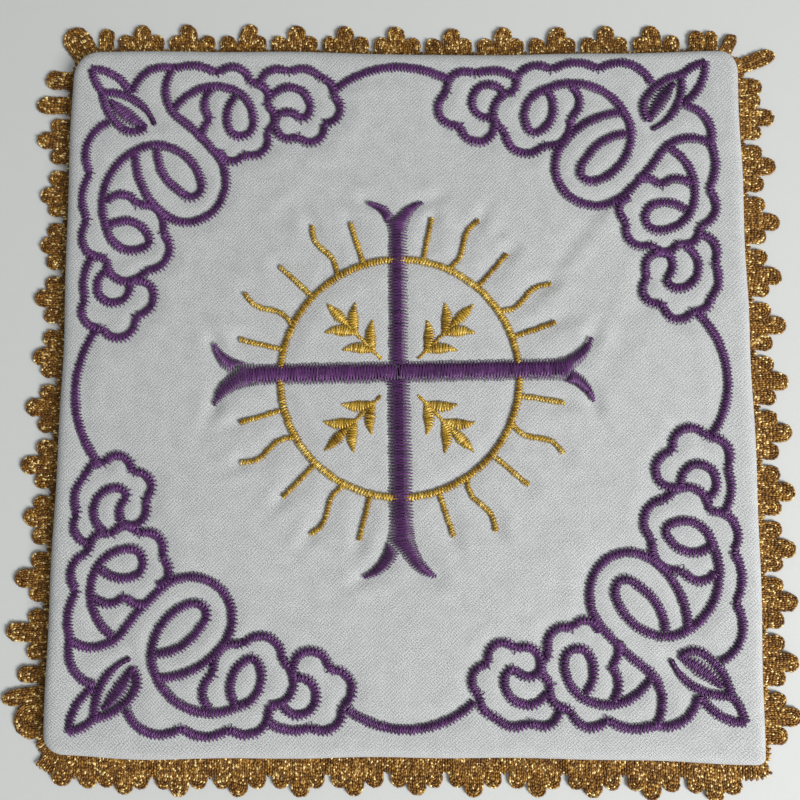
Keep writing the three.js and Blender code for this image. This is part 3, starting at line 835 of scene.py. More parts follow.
# Columns: share of a leaf's length, share of its half width
LEAF_SHAPE = [(0, 0.16), (0.2, 0.66), (0.45, 1), (0.7, 0.78), (0.88, 0.4), (1, 0.1)]
LEAF_BEND = 0.8
LEAF_SETTLE = 0.05


def on_ring(radius, angle, aside=0.0):
    """Places at a distance from the ring's middle, aside to the right of the way out."""
    x = RING[0] + radius * np.cos(angle) + aside * np.sin(angle)
    y = RING[1] + radius * np.sin(angle) - aside * np.cos(angle)
    return np.stack(np.broadcast_arrays(x, y), axis=-1)


def ray_line(quarter, ray):
    """Middle of a ray of a quarter, from the ring to its tip."""
    angle = math.radians(quarter["first"] + ray * quarter["pitch"])
    t = np.linspace(0, 1, 41)
    wavy = ray in WAVE_STARTS
    tip = RAYS["wavy"] if wavy else RAYS["straight"]
    wave = RAYS["drift"] * t + RAYS["wave"] * np.sin(2 * math.pi * t)
    aside = WAVE_STARTS[ray] + wave if wavy else 0 * t
    return on_ring(RING_RADIUS + (tip - RING_RADIUS) * t, angle, aside)


def arm_place(arm, along, across):
    """A place of the cross, by its distance along an arm and to the left of its middle."""
    angle = math.radians(arm["facing"]) + arm["lean"]
    return np.array(CROSS) + turned((along, across), angle)


def horn_edges(arm, side):
    """The outer and the inner edge of a horn, each from the arm to the tip."""
    reach = arm["reach"][0 if side > 0 else 1] * side
    length, horn, notch, half = (arm[key] for key in ("length", "horn", "notch", "half"))
    outer = bezier_points(
        arm_place(arm, length - horn, side * half),
        arm_place(arm, length - HORN["bend"] * horn, side * half * HORN["swell"]),
        arm_place(arm, length - BLUNT, reach),
    )
    inner = bezier_points(
        arm_place(arm, length - notch, arm["aside"]),
        arm_place(arm, length - HORN["dip"] * notch, HORN["dip_aside"] * reach),
        arm_place(arm, length, HORN["tip"] * reach),
    )
    return outer, inner


def horn_line(arm, side):
    """Middle of a horn."""
    outer, inner = horn_edges(arm, side)
    return (outer + inner) / 2


def all_lines():
    """Every line of stitching, for the cloth that it draws in."""
    lines = [in_corner(line, corner) for corner in CORNERS for line in ornament_lines().values()]
    lines += [arc_points(*arc) for arc in BORDER_ARCS.values()]
    for arm in ARMS:
        lines.append(np.array([CROSS, arm_place(arm, arm["length"] - arm["horn"], 0)]))
        lines += [horn_line(arm, side) for side in (-1, 1)]
    lines.append(on_ring(RING_RADIUS, np.linspace(0, 2 * math.pi, 200)))
    for quarter in QUARTERS:
        lines += [ray_line(quarter, ray) for ray in range(RAYS_EACH)]
    return lines


# Depth of the pucker ahead of a ray and ahead of a horn
RAY_PUCKER = 0.20
HORN_PUCKER = 0.26


def pull_tips():
    """Places where stitching ends and the cloth puckers ahead of it: place, direction, depth."""
    rays = [ray_line(quarter, ray) for quarter in QUARTERS for ray in range(RAYS_EACH)]
    horns = [horn_line(arm, side) for arm in ARMS for side in (-1, 1)]
    ends = [(line[0], line[-1], RAY_PUCKER) for line in rays]
    ends += [(line[-6], line[-1], HORN_PUCKER) for line in horns]
    return [(tip, (tip - back) / np.hypot(*(tip - back)), depth) for back, tip, depth in ends]


# How far each side of the cloth bows out from a straight line, with the lace that is sewn on it.
# Columns: place along the side, reach outwards.
BOWS = {
    (0, 1): [
        (-75, 1.3), (-70, 1.3), (-50, 1.0), (-30, 0.8), (-10, 0.55), (5, 0), (40, 0), (50, 0.1),
        (65, 0.5), (75, 0.8),
    ],
    (1, 0): [
        (-60, 0.9), (-30, 1.3), (-10, 1.2), (0, 1.0), (10, 0.6), (20, 0.5), (30, 0), (50, -0.1),
        (65, -0.5), (75, -0.2),
    ],
    (0, -1): [
        (-75, -0.1), (-70, 0.3), (-60, 0.8), (-50, 0.6), (-40, 0.4), (-30, 0.2), (-20, 0), (-10, -0.3),
        (0, -0.5), (20, -0.6), (45, -0.5), (60, -0.3), (70, 0.1),
    ],
    (-1, 0): [(-70, 0.65), (-45, 0.6), (-20, 0.6), (10, 0.12), (30, 0.12), (50, 0.3), (70, 0.5)],
}
# Width of the strip that bows, and the reach over which the bow is smoothed along the side
BOW_FADE = 9.0
BOW_SMOOTH = 6


def bowed(points):
    """Points in the plane, moved with the bow of the side that they are near."""
    points = np.array(points, float)
    moved = points.copy()
    for side, knots in BOWS.items():
        axis = 0 if side[0] else 1
        facing = side[axis]
        half = (HALF_WIDTH, HALF_DEPTH)[axis]
        near = np.clip(1 - (half - facing * points[..., axis]) / BOW_FADE, 0, 1)
        places, reach = zip(*knots)
        shifts = np.linspace(-BOW_SMOOTH, BOW_SMOOTH, 7)
        along = points[..., 1 - axis]
        bow = sum(np.interp(along + shift, places, reach) for shift in shifts) / len(shifts)
        moved[..., axis] += facing * bow * near * near * (3 - 2 * near)
    return moved


# Half width of the furrow that a line of stitching draws in the cloth, and the swelling beside it: its
# distance from the line, its half width and its height as a share of the furrow's depth
FURROW = 2.3
SWELLING = {"away": 4.2, "half": 1.9, "share": 0.35}
# Pucker ahead of a tip: how far it reaches back and ahead, half width of its furrow, and the distance, the
# half width and the share of depth of the ridges on both sides
PUCKER = {"back": 2.0, "ahead": 5.5, "half": 1.4, "ridge": 2.6, "ridge_half": 1.5, "share": 0.8}
# Distance between the places of a line that draw the cloth in
PULL_STEP = 0.6
# Width of the strip in which the wandering of the edge dies out
WANDER_STRIP = 8


def wander_at(x, y):
    """How far the edge of the cloth wanders inwards from its true line."""
    return 0.22 * np.sin(x / 13 + 1.1) * np.cos(y / 17 + 0.4) + 0.1 * np.sin((x - y) / 5.3)


# Pieces


class PALL_OT_cloth(bpy.types.Operator):
    """Make the white cloth: crowned, puckered by its stitching, and rolled under at its edge"""

    bl_idname = "pall.cloth"
    bl_label = "Cloth"

    def execute(self, context):
        settings = context.scene.pall_cloth
        cell = settings.cell / MM
        wrap = math.pi * ROLL
        half = np.array([HALF_WIDTH, HALF_DEPTH]) - ROLL + wrap
        counts = [int(round(2 * h / cell)) for h in half]
        deselect()
        bpy.ops.mesh.primitive_grid_add(x_subdivisions=counts[0], y_subdivisions=counts[1], size=2)
        cloth = context.object
        cloth.name = "cloth"
        mesh = cloth.data
        places = np.empty(len(mesh.vertices) * 3)
        mesh.vertices.foreach_get("co", places)
        cut = places.reshape(-1, 3)[:, :2] * half
        shaped = self.shaped(cut, settings.pull / MM)
        shaped[:, :2] += (MIDDLE.x / MM, MIDDLE.y / MM)
        mesh.vertices.foreach_set("co", ((shaped + (0, 0, LOW.z / MM)) * MM).ravel())
        bpy.ops.object.mode_set(mode="EDIT")
        bpy.ops.mesh.select_all(action="DESELECT")
        bpy.ops.mesh.select_mode(type="EDGE")
        bpy.ops.mesh.select_non_manifold()
        bpy.ops.mesh.edge_face_add()
        bpy.ops.mesh.select_all(action="SELECT")
        bpy.ops.mesh.normals_make_consistent(inside=False)
        bpy.ops.object.mode_set(mode="OBJECT")
        bpy.ops.object.shade_smooth()
        self.lay_weave(mesh, cut)
        dressed(cloth, ["pall_cloth"], cloth_material(settings))
        return {"FINISHED"}

    def shaped(self, cut, pull):
        """Places of the flat cloth's points once it is rolled over the edge and puckered."""
        half = np.array([HALF_WIDTH, HALF_DEPTH])
        beyond = np.abs(cut) - (half - ROLL)
        rolled = beyond.max(axis=1)
        angle = np.clip(rolled, 0, None) / ROLL
        inset = np.where(rolled < 0, ROLL - rolled, ROLL * (1 - np.sin(angle)))
        square = cut / ((half - ROLL) + rolled[:, None]) * (half - inset[:, None])
        radii = np.zeros(len(cut))
        for corner in CORNERS:
            here = (np.sign(cut) == corner["side"]).all(axis=1)
            radii[here] = corner["radius"]
        radii = np.clip(radii - inset, 0, None)
        rounded = self.rounded(square, half - inset[:, None], radii)
        x, y = rounded.T
        hold = np.clip(1 + rolled / WANDER_STRIP, 0, 1)
        rounded = rounded * (1 - hold * wander_at(x, y) / HALF_WIDTH)[:, None]
        top = face_at(x, y) + self.drawn_in(x, y, pull) * edge_fade(x, y)
        height = np.where(rolled <= 0, top, ROLL * (1 + np.cos(angle)))
        return np.column_stack([bowed(rounded), height])

    def rounded(self, square, half, radii):
        """Points of square rings, brought onto rings with round corners."""
        side = np.sign(square)
        core = half - radii[:, None]
        over = np.abs(square) - core
        in_corner_zone = (over > 0).all(axis=1) & (radii > 0)
        safe = np.where(radii > 0, radii, 1.0)
        on_x = over[:, 0] >= over[:, 1]
        share = np.clip(np.where(on_x, over[:, 1], over[:, 0]) / safe, 0, 1)
        angle = np.where(on_x, share, 2 - share) * math.pi / 4
        arc = core + radii[:, None] * np.column_stack([np.cos(angle), np.sin(angle)])
        return np.where(in_corner_zone[:, None], side * arc, square)

    def drawn_in(self, x, y, pull):
        """How far the stitching draws each point of the cloth down."""
        lines = [at_length(line, np.arange(0, lengths(line)[-1], PULL_STEP)) for line in all_lines()]
        stitched = np.concatenate(lines)
        tree = KDTree(len(stitched))
        for index, place in enumerate(stitched):
            tree.insert((place[0], place[1], 0), index)
        tree.balance()
        away = np.array([tree.find((a, b, 0))[2] for a, b in zip(x, y)])
        swelling = SWELLING["share"] * bell(away - SWELLING["away"], SWELLING["half"])
        height = pull * (swelling - bell(away, FURROW))
        for place, ahead, depth in pull_tips():
            run = (x - place[0]) * ahead[0] + (y - place[1]) * ahead[1]
            aside = (y - place[1]) * ahead[0] - (x - place[0]) * ahead[1]
            fade = bell(run, np.where(run < 0, PUCKER["back"], PUCKER["ahead"]))
            ridges = PUCKER["share"] * bell(np.abs(aside) - PUCKER["ridge"], PUCKER["ridge_half"])
            height += depth * fade * (ridges - bell(aside, PUCKER["half"]))
        return height

    def lay_weave(self, mesh, cut):
        """The weave follows the cloth as it was cut."""
        corners = np.empty(len(mesh.loops), int)
        mesh.loops.foreach_get("vertex_index", corners)
        layer = mesh.uv_layers[0]
        layer.name = "weave"
        layer.data.foreach_set("uv", (cut[corners] / WEAVE_UNIT).ravel())


# Lace: one run of braid on each side, clockwise. It has a flat header along the cloth's edge, and
# tongues of looped yarn on it, single ones or three in a trefoil.
# Columns of a trefoil's tongues: place beside its middle, half width, lean outwards.
TREFOIL = [(-3.3, 2.1, 0.1), (3.3, 2.1, -0.1), (0, 2.15, 0)]
# A tongue stands on the header this far from the cloth, and its loops begin a lap before that. There its
# width is this share of its full width.
TONGUE_ROOT = 0.7
TONGUE_LAP = 0.4
TONGUE_NECK = 0.88
# Gap between the cloth's edge and the line that the lace is measured from
LACE_SEAT = 0.12
# Chain stitches: pitch along a row and length, as a share of the pitch. Their pitch and the distance
# between two rows are in thicknesses of the yarn.
CHAIN_PITCH = 1.6
CHAIN_LENGTH = 1.4
COLUMN_PITCH = 1.15
LOOP_PITCH = 0.98
# Height of a chain stitch's ends, and of the outermost loop's with the rise towards the inner loops
CHAIN_LOW = 0.5
LOOP_LOW = 0.34
LOOP_RISE = 0.22
# How far chain stitches lean aside, in turn to each side, and how far they stray, in the header's columns
# and in the tongues' loops
COLUMN_SWING, LOOP_SWING = 0.14, 0.08
COLUMN_STRAY, LOOP_STRAY = 0.06, 0.05
# The header's columns begin this far under the cloth, and every other one later by a stagger
HEADER_BACK = 0.8
HEADER_STAGGER = 0.4
# Broad dark stitches under the yarn, whose dark bronze is painted shade in the gaps between the strands:
# height of their ends, thickness and rise, and in the header their pitch and width
DARK = {"low": 0.3, "thick": 0.5, "rise": 0.05, "pitch": 1.3, "width": 1.9}
# header: how far the flat of the braid shows at the run's start, middle and end.
# side, tips: reach of a trefoil's outer and middle tongues. sways: how far its tip stands aside.
# Columns of singles: place along the run, half width, tip, lean, length of the tip's rounding.
LACE_RUNS = [
    {
        "name": "lace_back", "header": (1.2, 1.2, 1.2), "first": 13.9, "last": 139.9, "side": 5.4,
        "tips": (7.9, 8.1, 8.3, 8.1, 8.0, 8.2, 7.9, 8.2, 8.1, 8.3, 8.0),
        "sways": (0.2, -1.4, 1.8, 0.7, -0.3, -0.4, 1.0, 0.9, 1.6, 0.5, -1.6),
        "singles": [
            (1.3, 3.4, 9.2, 0, 3.4), (5.4, 1.8, 6.9, 0, 1.8), (149.7, 2.0, 6.5, 0, 2.0),
            (153.2, 1.7, 6.3, 0, 1.7), (156.1, 1.6, 6.4, 0, 1.6),
        ],
    },
    {
        "name": "lace_right", "header": (1.9, 1.8, 1.7), "first": 13.6, "last": 154.1, "side": 6.1,
        "tips": (9.3, 9.1, 9.4, 9.2, 9.5, 9.2, 9.3, 9.4, 9.1, 9.3, 9.2, 9.4),
        "sways": (0.3, -0.6, 0.5, 0.9, -0.4, 0.2, -0.8, 0.4, 0.7, -0.3, 0.6, -0.5),
        "singles": [(2.2, 1.9, 10.8, 0, 3.4), (6.3, 2.0, 6.5, 0, 2.0)],
    },
    {
        "name": "lace_front", "header": (3.7, 3.9, 5.4), "first": 9.5, "last": 142.8, "side": 7.3,
        "tips": (9.1, 9.2, 9.0, 9.1, 9.3, 9.0, 9.1, 9.2, 9.1, 8.9, 8.6),
        "sways": (-0.4, 0.6, 0.3, -0.7, 0.5, -0.2, 0.8, -0.5, 0.4, 0.6, -0.3),
        "singles": [(151.2, 2.3, 7.7, 0.06, 2.3), (155.6, 2.2, 7.6, -0.06, 2.2)],
    },
    {
        "name": "lace_left", "header": (2.8, 1.7, 1.2), "first": 25.3, "last": 143.0, "side": 5.9,
        "tips": (10.9, 9.5, 8.1, 9.4, 9.1, 8.0, 8.3, 7.5, 7.9, 9.1),
        "sways": (0.6, -0.5, 0.8, -0.3, 0.4, -0.9, 0.5, 0.3, -0.6, 0.4),
        "singles": [
            (5.9, 4.2, 8.1, 0, 4.6), (12.2, 1.9, 11.2, 0.15, 3.6), (16.2, 1.9, 7.8, 0, 1.9),
            (152.2, 2.2, 9.7, 0, 2.6), (157.8, 2.0, 7.7, 0, 2.0),
        ],
    },
]


class Braid:
    """One run of the lace, drawn as distances along the cloth's edge and out from it."""

    def __init__(self, index):
        self.run = LACE_RUNS[index]
        facing = math.pi / 2 - index * math.pi / 2
        before, after = CORNERS[index], CORNERS[(index + 1) % 4]
        points, outs = [], []
        for corner, first, last in ((before, math.pi / 4, 0), (after, 0, -math.pi / 4)):
            angles = np.linspace(facing + first, facing + last, 13)
            out = np.column_stack([np.cos(angles), np.sin(angles)])
            centre = np.array(corner["side"]) * (np.array([HALF_WIDTH, HALF_DEPTH]) - corner["radius"])
            points.append(centre + out * (corner["radius"] + LACE_SEAT))
            outs.append(out)
        self.points, self.outs = np.concatenate(points), np.concatenate(outs)
        self.lengths = lengths(self.points)
        self.length = self.lengths[-1]

    def place(self, along, out, aside=0.0):
        """Places out from the edge, and aside in the straight frame of a point of it."""
        spots = [np.interp(along, self.lengths, self.points[:, k]) for k in (0, 1)]
        away = [np.interp(along, self.lengths, self.outs[:, k]) for k in (0, 1)]
        x = spots[0] + away[0] * out + away[1] * aside
        y = spots[1] + away[1] * out - away[0] * aside
        return bowed(np.column_stack([x, y]))

    def header(self, along):
        """How far the flat of the braid reaches at a place."""
        start, middle, end = self.run["header"]
        share = np.clip(along / self.length, 0, 1)
        nearer = np.where(share < 0.5, start, end)
        return middle + (nearer - middle) * (1 - 2 * np.minimum(share, 1 - share)) ** 2

    def tongues(self):
        """Place along the run, place aside, half width, tip, lean and rounding of each tongue."""
        run = self.run
        found = [(along, 0.0, *rest) for along, *rest in run["singles"]]
        count = len(run["tips"])
        for turn, (tip, sway) in enumerate(zip(run["tips"], run["sways"])):
            along = run["first"] + (run["last"] - run["first"]) * turn / (count - 1)
            for aside, half, lean in TREFOIL:
                reach, lean = (run["side"], lean) if aside else (tip, -sway / tip)
                found.append((along, aside, half, reach, lean, half))
        return found


class PALL_OT_lace(bpy.types.Operator):
    """Make the gold lace: chain stitches outwards from the cloth, and tongues of looped yarn"""

    bl_idname = "pall.lace"
    bl_label = "Lace"

    def execute(self, context):
        settings = context.scene.pall_lace
        material = lace_material(settings)
        stitch = one_stitch("yarn_stitch", *PLAIN)
        yarn = settings.yarn / MM
        for index, run in enumerate(LACE_RUNS):
            braid = Braid(index)
            skein = Skein(20 + index)
            self.header(skein, braid, yarn)
            for tongue in braid.tongues():
                self.tongue(skein, braid, yarn, *tongue)
            piece = skein.joined(run["name"] + "_yarn", stitch)
            dressed(piece, [run["name"]], material)
        return {"FINISHED"}

    def chain(self, skein, starts, ends, yarn, low):
        """Short overlapping stitches of yarn, with their places in the plane."""
        draws = skein.draws
        count = len(starts)
        lows = low + draws.uniform(-0.1, 0.1, (2, count))
        skein.add(
            np.column_stack([starts, lows[0]]), np.column_stack([ends, lows[1]]),
            yarn * draws.uniform(1.05, 1.4, count), yarn * 0.95, draws.uniform(0.2, 0.5, count),
            draws.beta(1.6, 1.8, count),
        )

    def header(self, skein, braid, yarn):
        """Columns of chain stitches from under the cloth outwards, evenly spaced at their outer ends."""
        draws = skein.draws
        fine = np.linspace(0, braid.length, 600)
        outer = lengths(braid.place(fine, braid.header(fine)))
        step = CHAIN_PITCH * yarn
        columns = np.interp(np.arange(0.3, outer[-1] - 0.2, COLUMN_PITCH * yarn), outer, fine)
        for column, along in enumerate(columns):
            back = -HEADER_BACK + HEADER_STAGGER * (column % 2)
            outs = np.arange(back, float(braid.header(along)) - 0.35, step)
            count = len(outs)
            side = np.where((np.arange(count) + column) % 2 == 0, COLUMN_SWING, -COLUMN_SWING)
            sway = draws.normal(0, COLUMN_STRAY, (2, count))
            starts = braid.place(along, outs, sway[0] - side)
            ends = braid.place(along, outs + step * CHAIN_LENGTH, sway[1] + side)
            self.chain(skein, starts, ends, yarn, CHAIN_LOW)
        wide = np.interp(np.arange(0.5, outer[-1], DARK["pitch"]), outer, fine)
        starts = braid.place(wide, -HEADER_BACK)
        ends = braid.place(wide, braid.header(wide) - 0.1)
        self.under(skein, starts, ends, DARK["width"])

    def under(self, skein, starts, ends, width):
        """Broad dark stitches that the yarn lies on: painted shade in the gaps between its strands."""
        low = np.full(len(starts), DARK["low"])
        starts, ends = (np.column_stack([places, low]) for places in (starts, ends))
        skein.add(starts, ends, width, DARK["thick"], DARK["rise"], 0.0)

    def tongue(self, skein, braid, yarn, along, aside, half, tip, lean, rounding):
        """Loops of yarn, one inside the other, from the header to the tip and back, and a row of stitches
        up their middle."""
        draws = skein.draws
        step = CHAIN_PITCH * yarn
        root = TONGUE_ROOT - TONGUE_LAP
        spin = np.linspace(math.pi, 0, 24)
        shoulder = tip - rounding

        def spot(across, out):
            return braid.place(along, out, aside + across - out * lean)

        for inset in np.arange(0.5 * yarn, half - 0.3 * yarn, LOOP_PITCH * yarn):
            inner = half - inset
            neck = inner * TONGUE_NECK
            across = np.concatenate([[-neck], inner * np.cos(spin), [neck]])
            out = shoulder + max(0.2, rounding - inset) * np.sin(spin)
            loop = np.column_stack([across, np.concatenate([[root], out, [root]])])
            run = lengths(loop)[-1]
            places = np.arange(draws.uniform(0, 0.5) * step, run - 0.6 * step, step)
            count = len(places)
            side = np.where(np.arange(count) % 2 == 0, LOOP_SWING, -LOOP_SWING)
            sway = draws.normal(0, LOOP_STRAY, (2, count))
            starts = at_length(loop, places)
            ends = at_length(loop, np.minimum(places + CHAIN_LENGTH * step, run))
            starts = spot(starts[:, 0] + sway[0] - side, starts[:, 1])
            ends = spot(ends[:, 0] + sway[1] + side, ends[:, 1])
            low = LOOP_LOW + LOOP_RISE * min(1.0, inset / 1.2)
            self.chain(skein, starts, ends, yarn, low)
        outs = np.arange(root, shoulder - 0.2, step)
        sway = draws.normal(0, COLUMN_STRAY, (2, len(outs)))
        starts, ends = spot(sway[0], outs), spot(sway[1], outs + CHAIN_LENGTH * step)
        self.chain(skein, starts, ends, yarn, CHAIN_LOW)
        bars = np.array([-0.42, 0.42]) * half
        starts, ends = (spot(bars, np.full(2, out)) for out in (root, tip - 0.55))
        self.under(skein, starts, ends, 0.95 * half)


class PALL_OT_corners(bpy.types.Operator):
    """Make the purple rose, ribbon and bud of each corner in satin stitch"""

    bl_idname = "pall.corners"
    bl_label = "Corner ornaments"

    def execute(self, context):
        settings = context.scene.pall_stitches
        half = settings.band / MM / 2
        tooth, width = gauge(settings, "corner")
        material = purple_material(settings)
        stitch = one_stitch("corner_stitch", *PLAIN)
        for index, corner in enumerate(CORNERS):
            skein = Skein(40 + index)
            for turn, (name, line) in enumerate(ornament_lines().items()):
                settle = LAYER * (turn % LAYERS)
                line = in_corner(line, corner)
                satin(skein, line, self.reach(name, half), tooth, width, settle, under=BAND_UNDER)
            sewn(skein, stitch, "corner_" + corner["name"], material)
        return {"FINISHED"}

    def reach(self, name, half):
        """Half widths of a band of the ornament."""
        if name == "blade":
            return [(0, half, half), (BLADE_NARROWS, half, half), (1, BLADE_TIP, BLADE_TIP)]
        return HEART_REACH if name == "heart" else even(half)


class PALL_OT_arcs(bpy.types.Operator):
    """Make the four purple arcs between the corner ornaments in satin stitch"""

    bl_idname = "pall.arcs"
    bl_label = "Border arcs"

    def execute(self, context):
        settings = context.scene.pall_stitches
        half = settings.band / MM / 2
        tooth, width = gauge(settings, "arc")
        material = purple_material(settings)
        stitch = one_stitch("arc_stitch", *PLAIN)
        for index, (name, arc) in enumerate(BORDER_ARCS.items()):
            skein = Skein(60 + index)
            satin(skein, arc_points(*arc), even(half), tooth, width, ARC_SETTLE, under=BAND_UNDER)
            sewn(skein, stitch, name, material)
        return {"FINISHED"}


class PALL_OT_cross(bpy.types.Operator):
    """Make the purple cross in satin stitch: four arms, and two horns at the end of each"""

    bl_idname = "pall.cross"
    bl_label = "Cross"

    def execute(self, context):
        settings = context.scene.pall_stitches
        skein = Skein(70)
        for arm in ARMS:
            self.arm(skein, arm, *gauge(settings, "cross"))
        stitch = one_stitch("cross_stitch", *FINE)
        sewn(skein, stitch, "cross", purple_material(settings))
        return {"FINISHED"}

    def arm(self, skein, arm, tooth, width):
        """The arm runs on into its main horn. The other horn is sewn on beside it."""
        upright = arm["facing"] % 180 == 90
        settle = UPRIGHT_SETTLE if upright else LEVEL_SETTLE
        first = UPRIGHT_START if upright else 0
        main, half = arm["main"], arm["half"]
        flare = arm["length"] - arm["horn"]
        trunk = [
            np.array([arm_place(arm, first, side * half), arm_place(arm, flare, side * half)])
            for side in (main, -main)
        ]
        outer, inner = horn_edges(arm, main)
        other_outer, other_inner = horn_edges(arm, -main)
        split = len(other_outer) // 4
        seam = np.array([other_outer[split], inner[0]])
        rest = np.concatenate([other_outer[:split], seam, inner[1:]])
        core = np.array([arm_place(arm, first, 0), arm_place(arm, flare + CORE_OVER, 0)])
        underlay(skein, core, arm["under"], settle)
        for side in (main, -main):
            underlay(skein, horn_line(arm, side)[6:20], HORN_UNDER, settle)
        if not upright:
            inset = (trunk[1] - trunk[0]) * INNER["inset"]
            inner_trunk = (trunk[0] + inset, trunk[1] - inset)
            ladder(skein, [inner_trunk], INNER["tooth"] * tooth, width, settle - INNER["drop"])
        ladder(skein, [trunk, (outer, rest)], tooth, width, settle)
        other_rest = np.concatenate([seam, other_inner[1:]])
        ladder(skein, [(other_outer[split:], other_rest)], tooth, width, settle)


class PALL_OT_sunburst(bpy.types.Operator):
    """Make the gold ring and its rays in satin stitch, one piece for each quarter"""

    bl_idname = "pall.sunburst"
    bl_label = "Sunburst"

    def execute(self, context):
        settings = context.scene.pall_stitches
        material = gold_material(settings)
        stitch = one_stitch("ring_stitch", *PLAIN)
        tooth, width = gauge(settings, "sunburst")
        for index, quarter in enumerate(QUARTERS):
            skein = Skein(80 + index)
            for ray in range(RAYS_EACH):
                satin(skein, ray_line(quarter, ray), even(RAYS["half"]), tooth, width, under=RAY_UNDER)
            span = np.radians(np.linspace(quarter["from"], quarter["to"], 120))
            ring = on_ring(RING_RADIUS, span)
            satin(skein, ring, even(RING_HALF), tooth, width, RING_SETTLE, under=RING_UNDER)
            sewn(skein, stitch, "sunburst_" + quarter["name"], material)
        return {"FINISHED"}


class PALL_OT_sprigs(bpy.types.Operator):
    """Make a gold sprig of leaves in satin stitch in each quarter of the ring"""

    bl_idname = "pall.sprigs"
    bl_label = "Sprigs"

    def execute(self, context):
        settings = context.scene.pall_stitches
        material = gold_material(settings)
        stitch = one_stitch("leaf_stitch", *PLAIN)
        tooth, width = gauge(settings, "sprig")
        for index, quarter in enumerate(QUARTERS):
            skein = Skein(90 + index)
            angle = math.radians((quarter["from"] + quarter["to"]) / 2)
            stem = np.array([on_ring(SPRIG["root"], angle), on_ring(SPRIG["tip"], angle)])
            satin(skein, stem, even(STEM_HALF), tooth, width)
            leaves = [(SPRIG["tip"], 0)]
            for share in SPRIG["pairs"]:
                radius = SPRIG["root"] + share * (SPRIG["tip"] - SPRIG["root"])
                leaves += [(radius, -1), (radius, 1)]
            for radius, hand in leaves:
                facing = angle + hand * SPRIG["spread"]
                self.leaf(skein, on_ring(radius, angle), facing, hand, tooth, width)
            sewn(skein, stitch, "sprig_" + quarter["name"], material)
        return {"FINISHED"}

    def leaf(self, skein, root, facing, hand, tooth, width):
        """A leaf on the left of the stem, where hand is 1, on its right for -1, or at its tip for 0."""
        tip = root + turned((SPRIG["leaf"], 0), facing)
        half = SPRIG["leaf_half"]
        reach = [(share, half * wide, half * wide) for share, wide in LEAF_SHAPE]
        line = arc_points(root, tip, -LEAF_BEND * hand)
        satin(skein, line, reach, tooth, width, LEAF_SETTLE, ragged=0.05)
        underlay(skein, line[4:-8], half, LEAF_SETTLE)


# Stage. The camera looks down at the photo's angle: its place, from the middle of the upper face, and how
# it is turned about its three axes.
CAMERA_PLACE = (2.9, -17.6, 183.3)
CAMERA_TURN = (-4.99, -1.09, -0.26)
CAMERA_LENS = 36.0
SKY_COLOUR = (0.93, 0.97, 1.0, 1)
LIGHTS = [
    # name, place, size, share of the strength
    ("key", (0.67, -0.42, 0.64), 0.48, "key"),
    ("top", (-0.10, 0.25, 0.80), 0.90, "fill"),
]


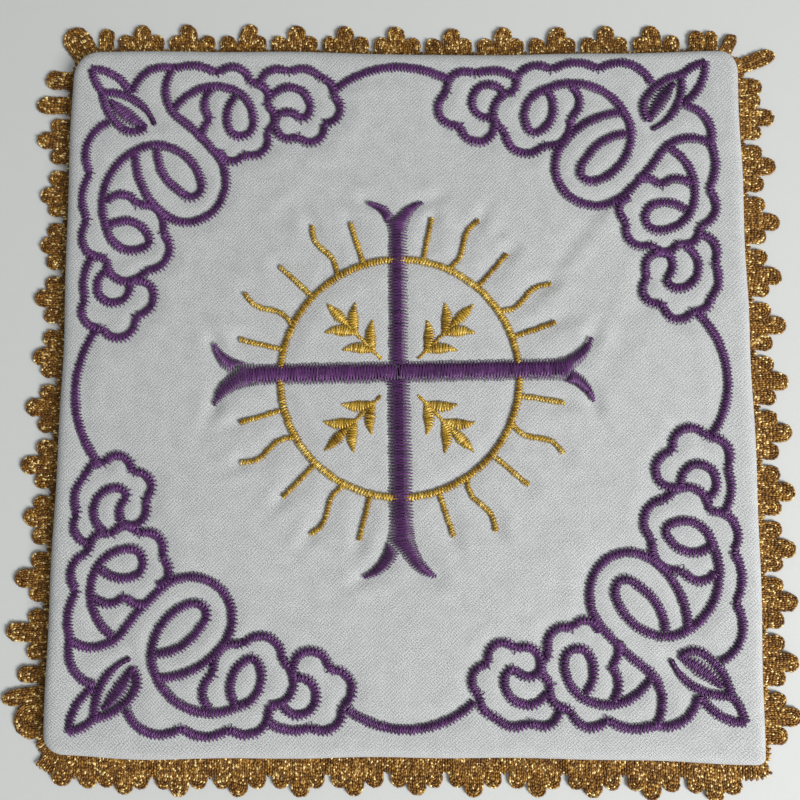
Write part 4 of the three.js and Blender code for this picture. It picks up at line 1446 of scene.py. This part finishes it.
class PALL_OT_stage(bpy.types.Operator):
    """Make the floor, the studio lights and the camera"""

    bl_idname = "pall.stage"
    bl_label = "Stage"

    def execute(self, context):
        settings = context.scene.pall_stage
        scene = context.scene
        scene.view_settings.view_transform = "Standard"
        self.floor(settings)
        for name, place, size, share in LIGHTS:
            self.light(name, place, size, getattr(settings, share))
        world = bpy.data.worlds.new("sky")
        world.use_nodes = True
        world.node_tree.nodes["Background"].inputs["Color"].default_value = SKY_COLOUR
        world.node_tree.nodes["Background"].inputs["Strength"].default_value = settings.sky
        scene.world = world
        scene.camera = self.camera()
        return {"FINISHED"}

    def floor(self, settings):
        deselect()
        bpy.ops.mesh.primitive_plane_add(size=4, location=(0, 0, LOW.z - 0.05 * MM))
        floor = bpy.context.object
        floor.name = "floor"
        floor.data.materials.append(floor_material(settings))

    def light(self, name, place, size, strength):
        deselect()
        bpy.ops.object.light_add(type="AREA", location=place)
        light = bpy.context.object
        light.name = name
        light.data.shape = "DISK"
        light.data.size = size
        light.data.energy = strength
        aim = Vector((0, 0, 0)) - Vector(place)
        light.rotation_euler = aim.to_track_quat("-Z", "Y").to_euler()

    def camera(self):
        top = LOW.z + (2 * ROLL) * MM
        place = Vector(CAMERA_PLACE) * MM + Vector((MIDDLE.x, MIDDLE.y, top))
        turns = [Matrix.Rotation(math.radians(angle), 3, axis) for angle, axis in zip(CAMERA_TURN, "XYZ")]
        to_camera = turns[2] @ turns[1] @ turns[0]
        deselect()
        bpy.ops.object.camera_add(location=place, rotation=to_camera.transposed().to_euler())
        camera = bpy.context.object
        camera.name = "camera"
        camera.data.lens = CAMERA_LENS
        camera.data.sensor_width = 36.0
        camera.data.clip_start = 0.005
        return camera


STEPS = ["stage", "cloth", "lace", "corners", "arcs", "cross", "sunburst", "sprigs"]


class PALL_PT_pall(bpy.types.Panel):
    """The steps in which the pall is made, and its settings"""

    bl_label = "Chalice pall"
    bl_idname = "PALL_PT_pall"
    bl_space_type = "VIEW_3D"
    bl_region_type = "UI"
    bl_category = "Pall"

    def draw(self, context):
        layout = self.layout
        for step in STEPS:
            layout.operator("pall." + step)
        for group in SETTINGS:
            box = layout.box()
            for name in SETTINGS[group].__annotations__:
                box.prop(getattr(context.scene, group), name)


SETTINGS = {
    "pall_cloth": PallClothSettings,
    "pall_stitches": PallStitchSettings,
    "pall_lace": PallLaceSettings,
    "pall_stage": PallStageSettings,
}
CLASSES = [
    *SETTINGS.values(),
    PALL_OT_stage,
    PALL_OT_cloth,
    PALL_OT_lace,
    PALL_OT_corners,
    PALL_OT_arcs,
    PALL_OT_cross,
    PALL_OT_sunburst,
    PALL_OT_sprigs,
    PALL_PT_pall,
]


def register():
    for each in CLASSES:
        bpy.utils.register_class(each)
    for name, group in SETTINGS.items():
        setattr(bpy.types.Scene, name, PointerProperty(type=group))


def unregister():
    for name in SETTINGS:
        delattr(bpy.types.Scene, name)
    for each in reversed(CLASSES):
        bpy.utils.unregister_class(each)


def main():
    register()
    for step in STEPS:
        getattr(bpy.ops.pall, step)()
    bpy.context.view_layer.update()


if __name__ == "__main__":
    main()
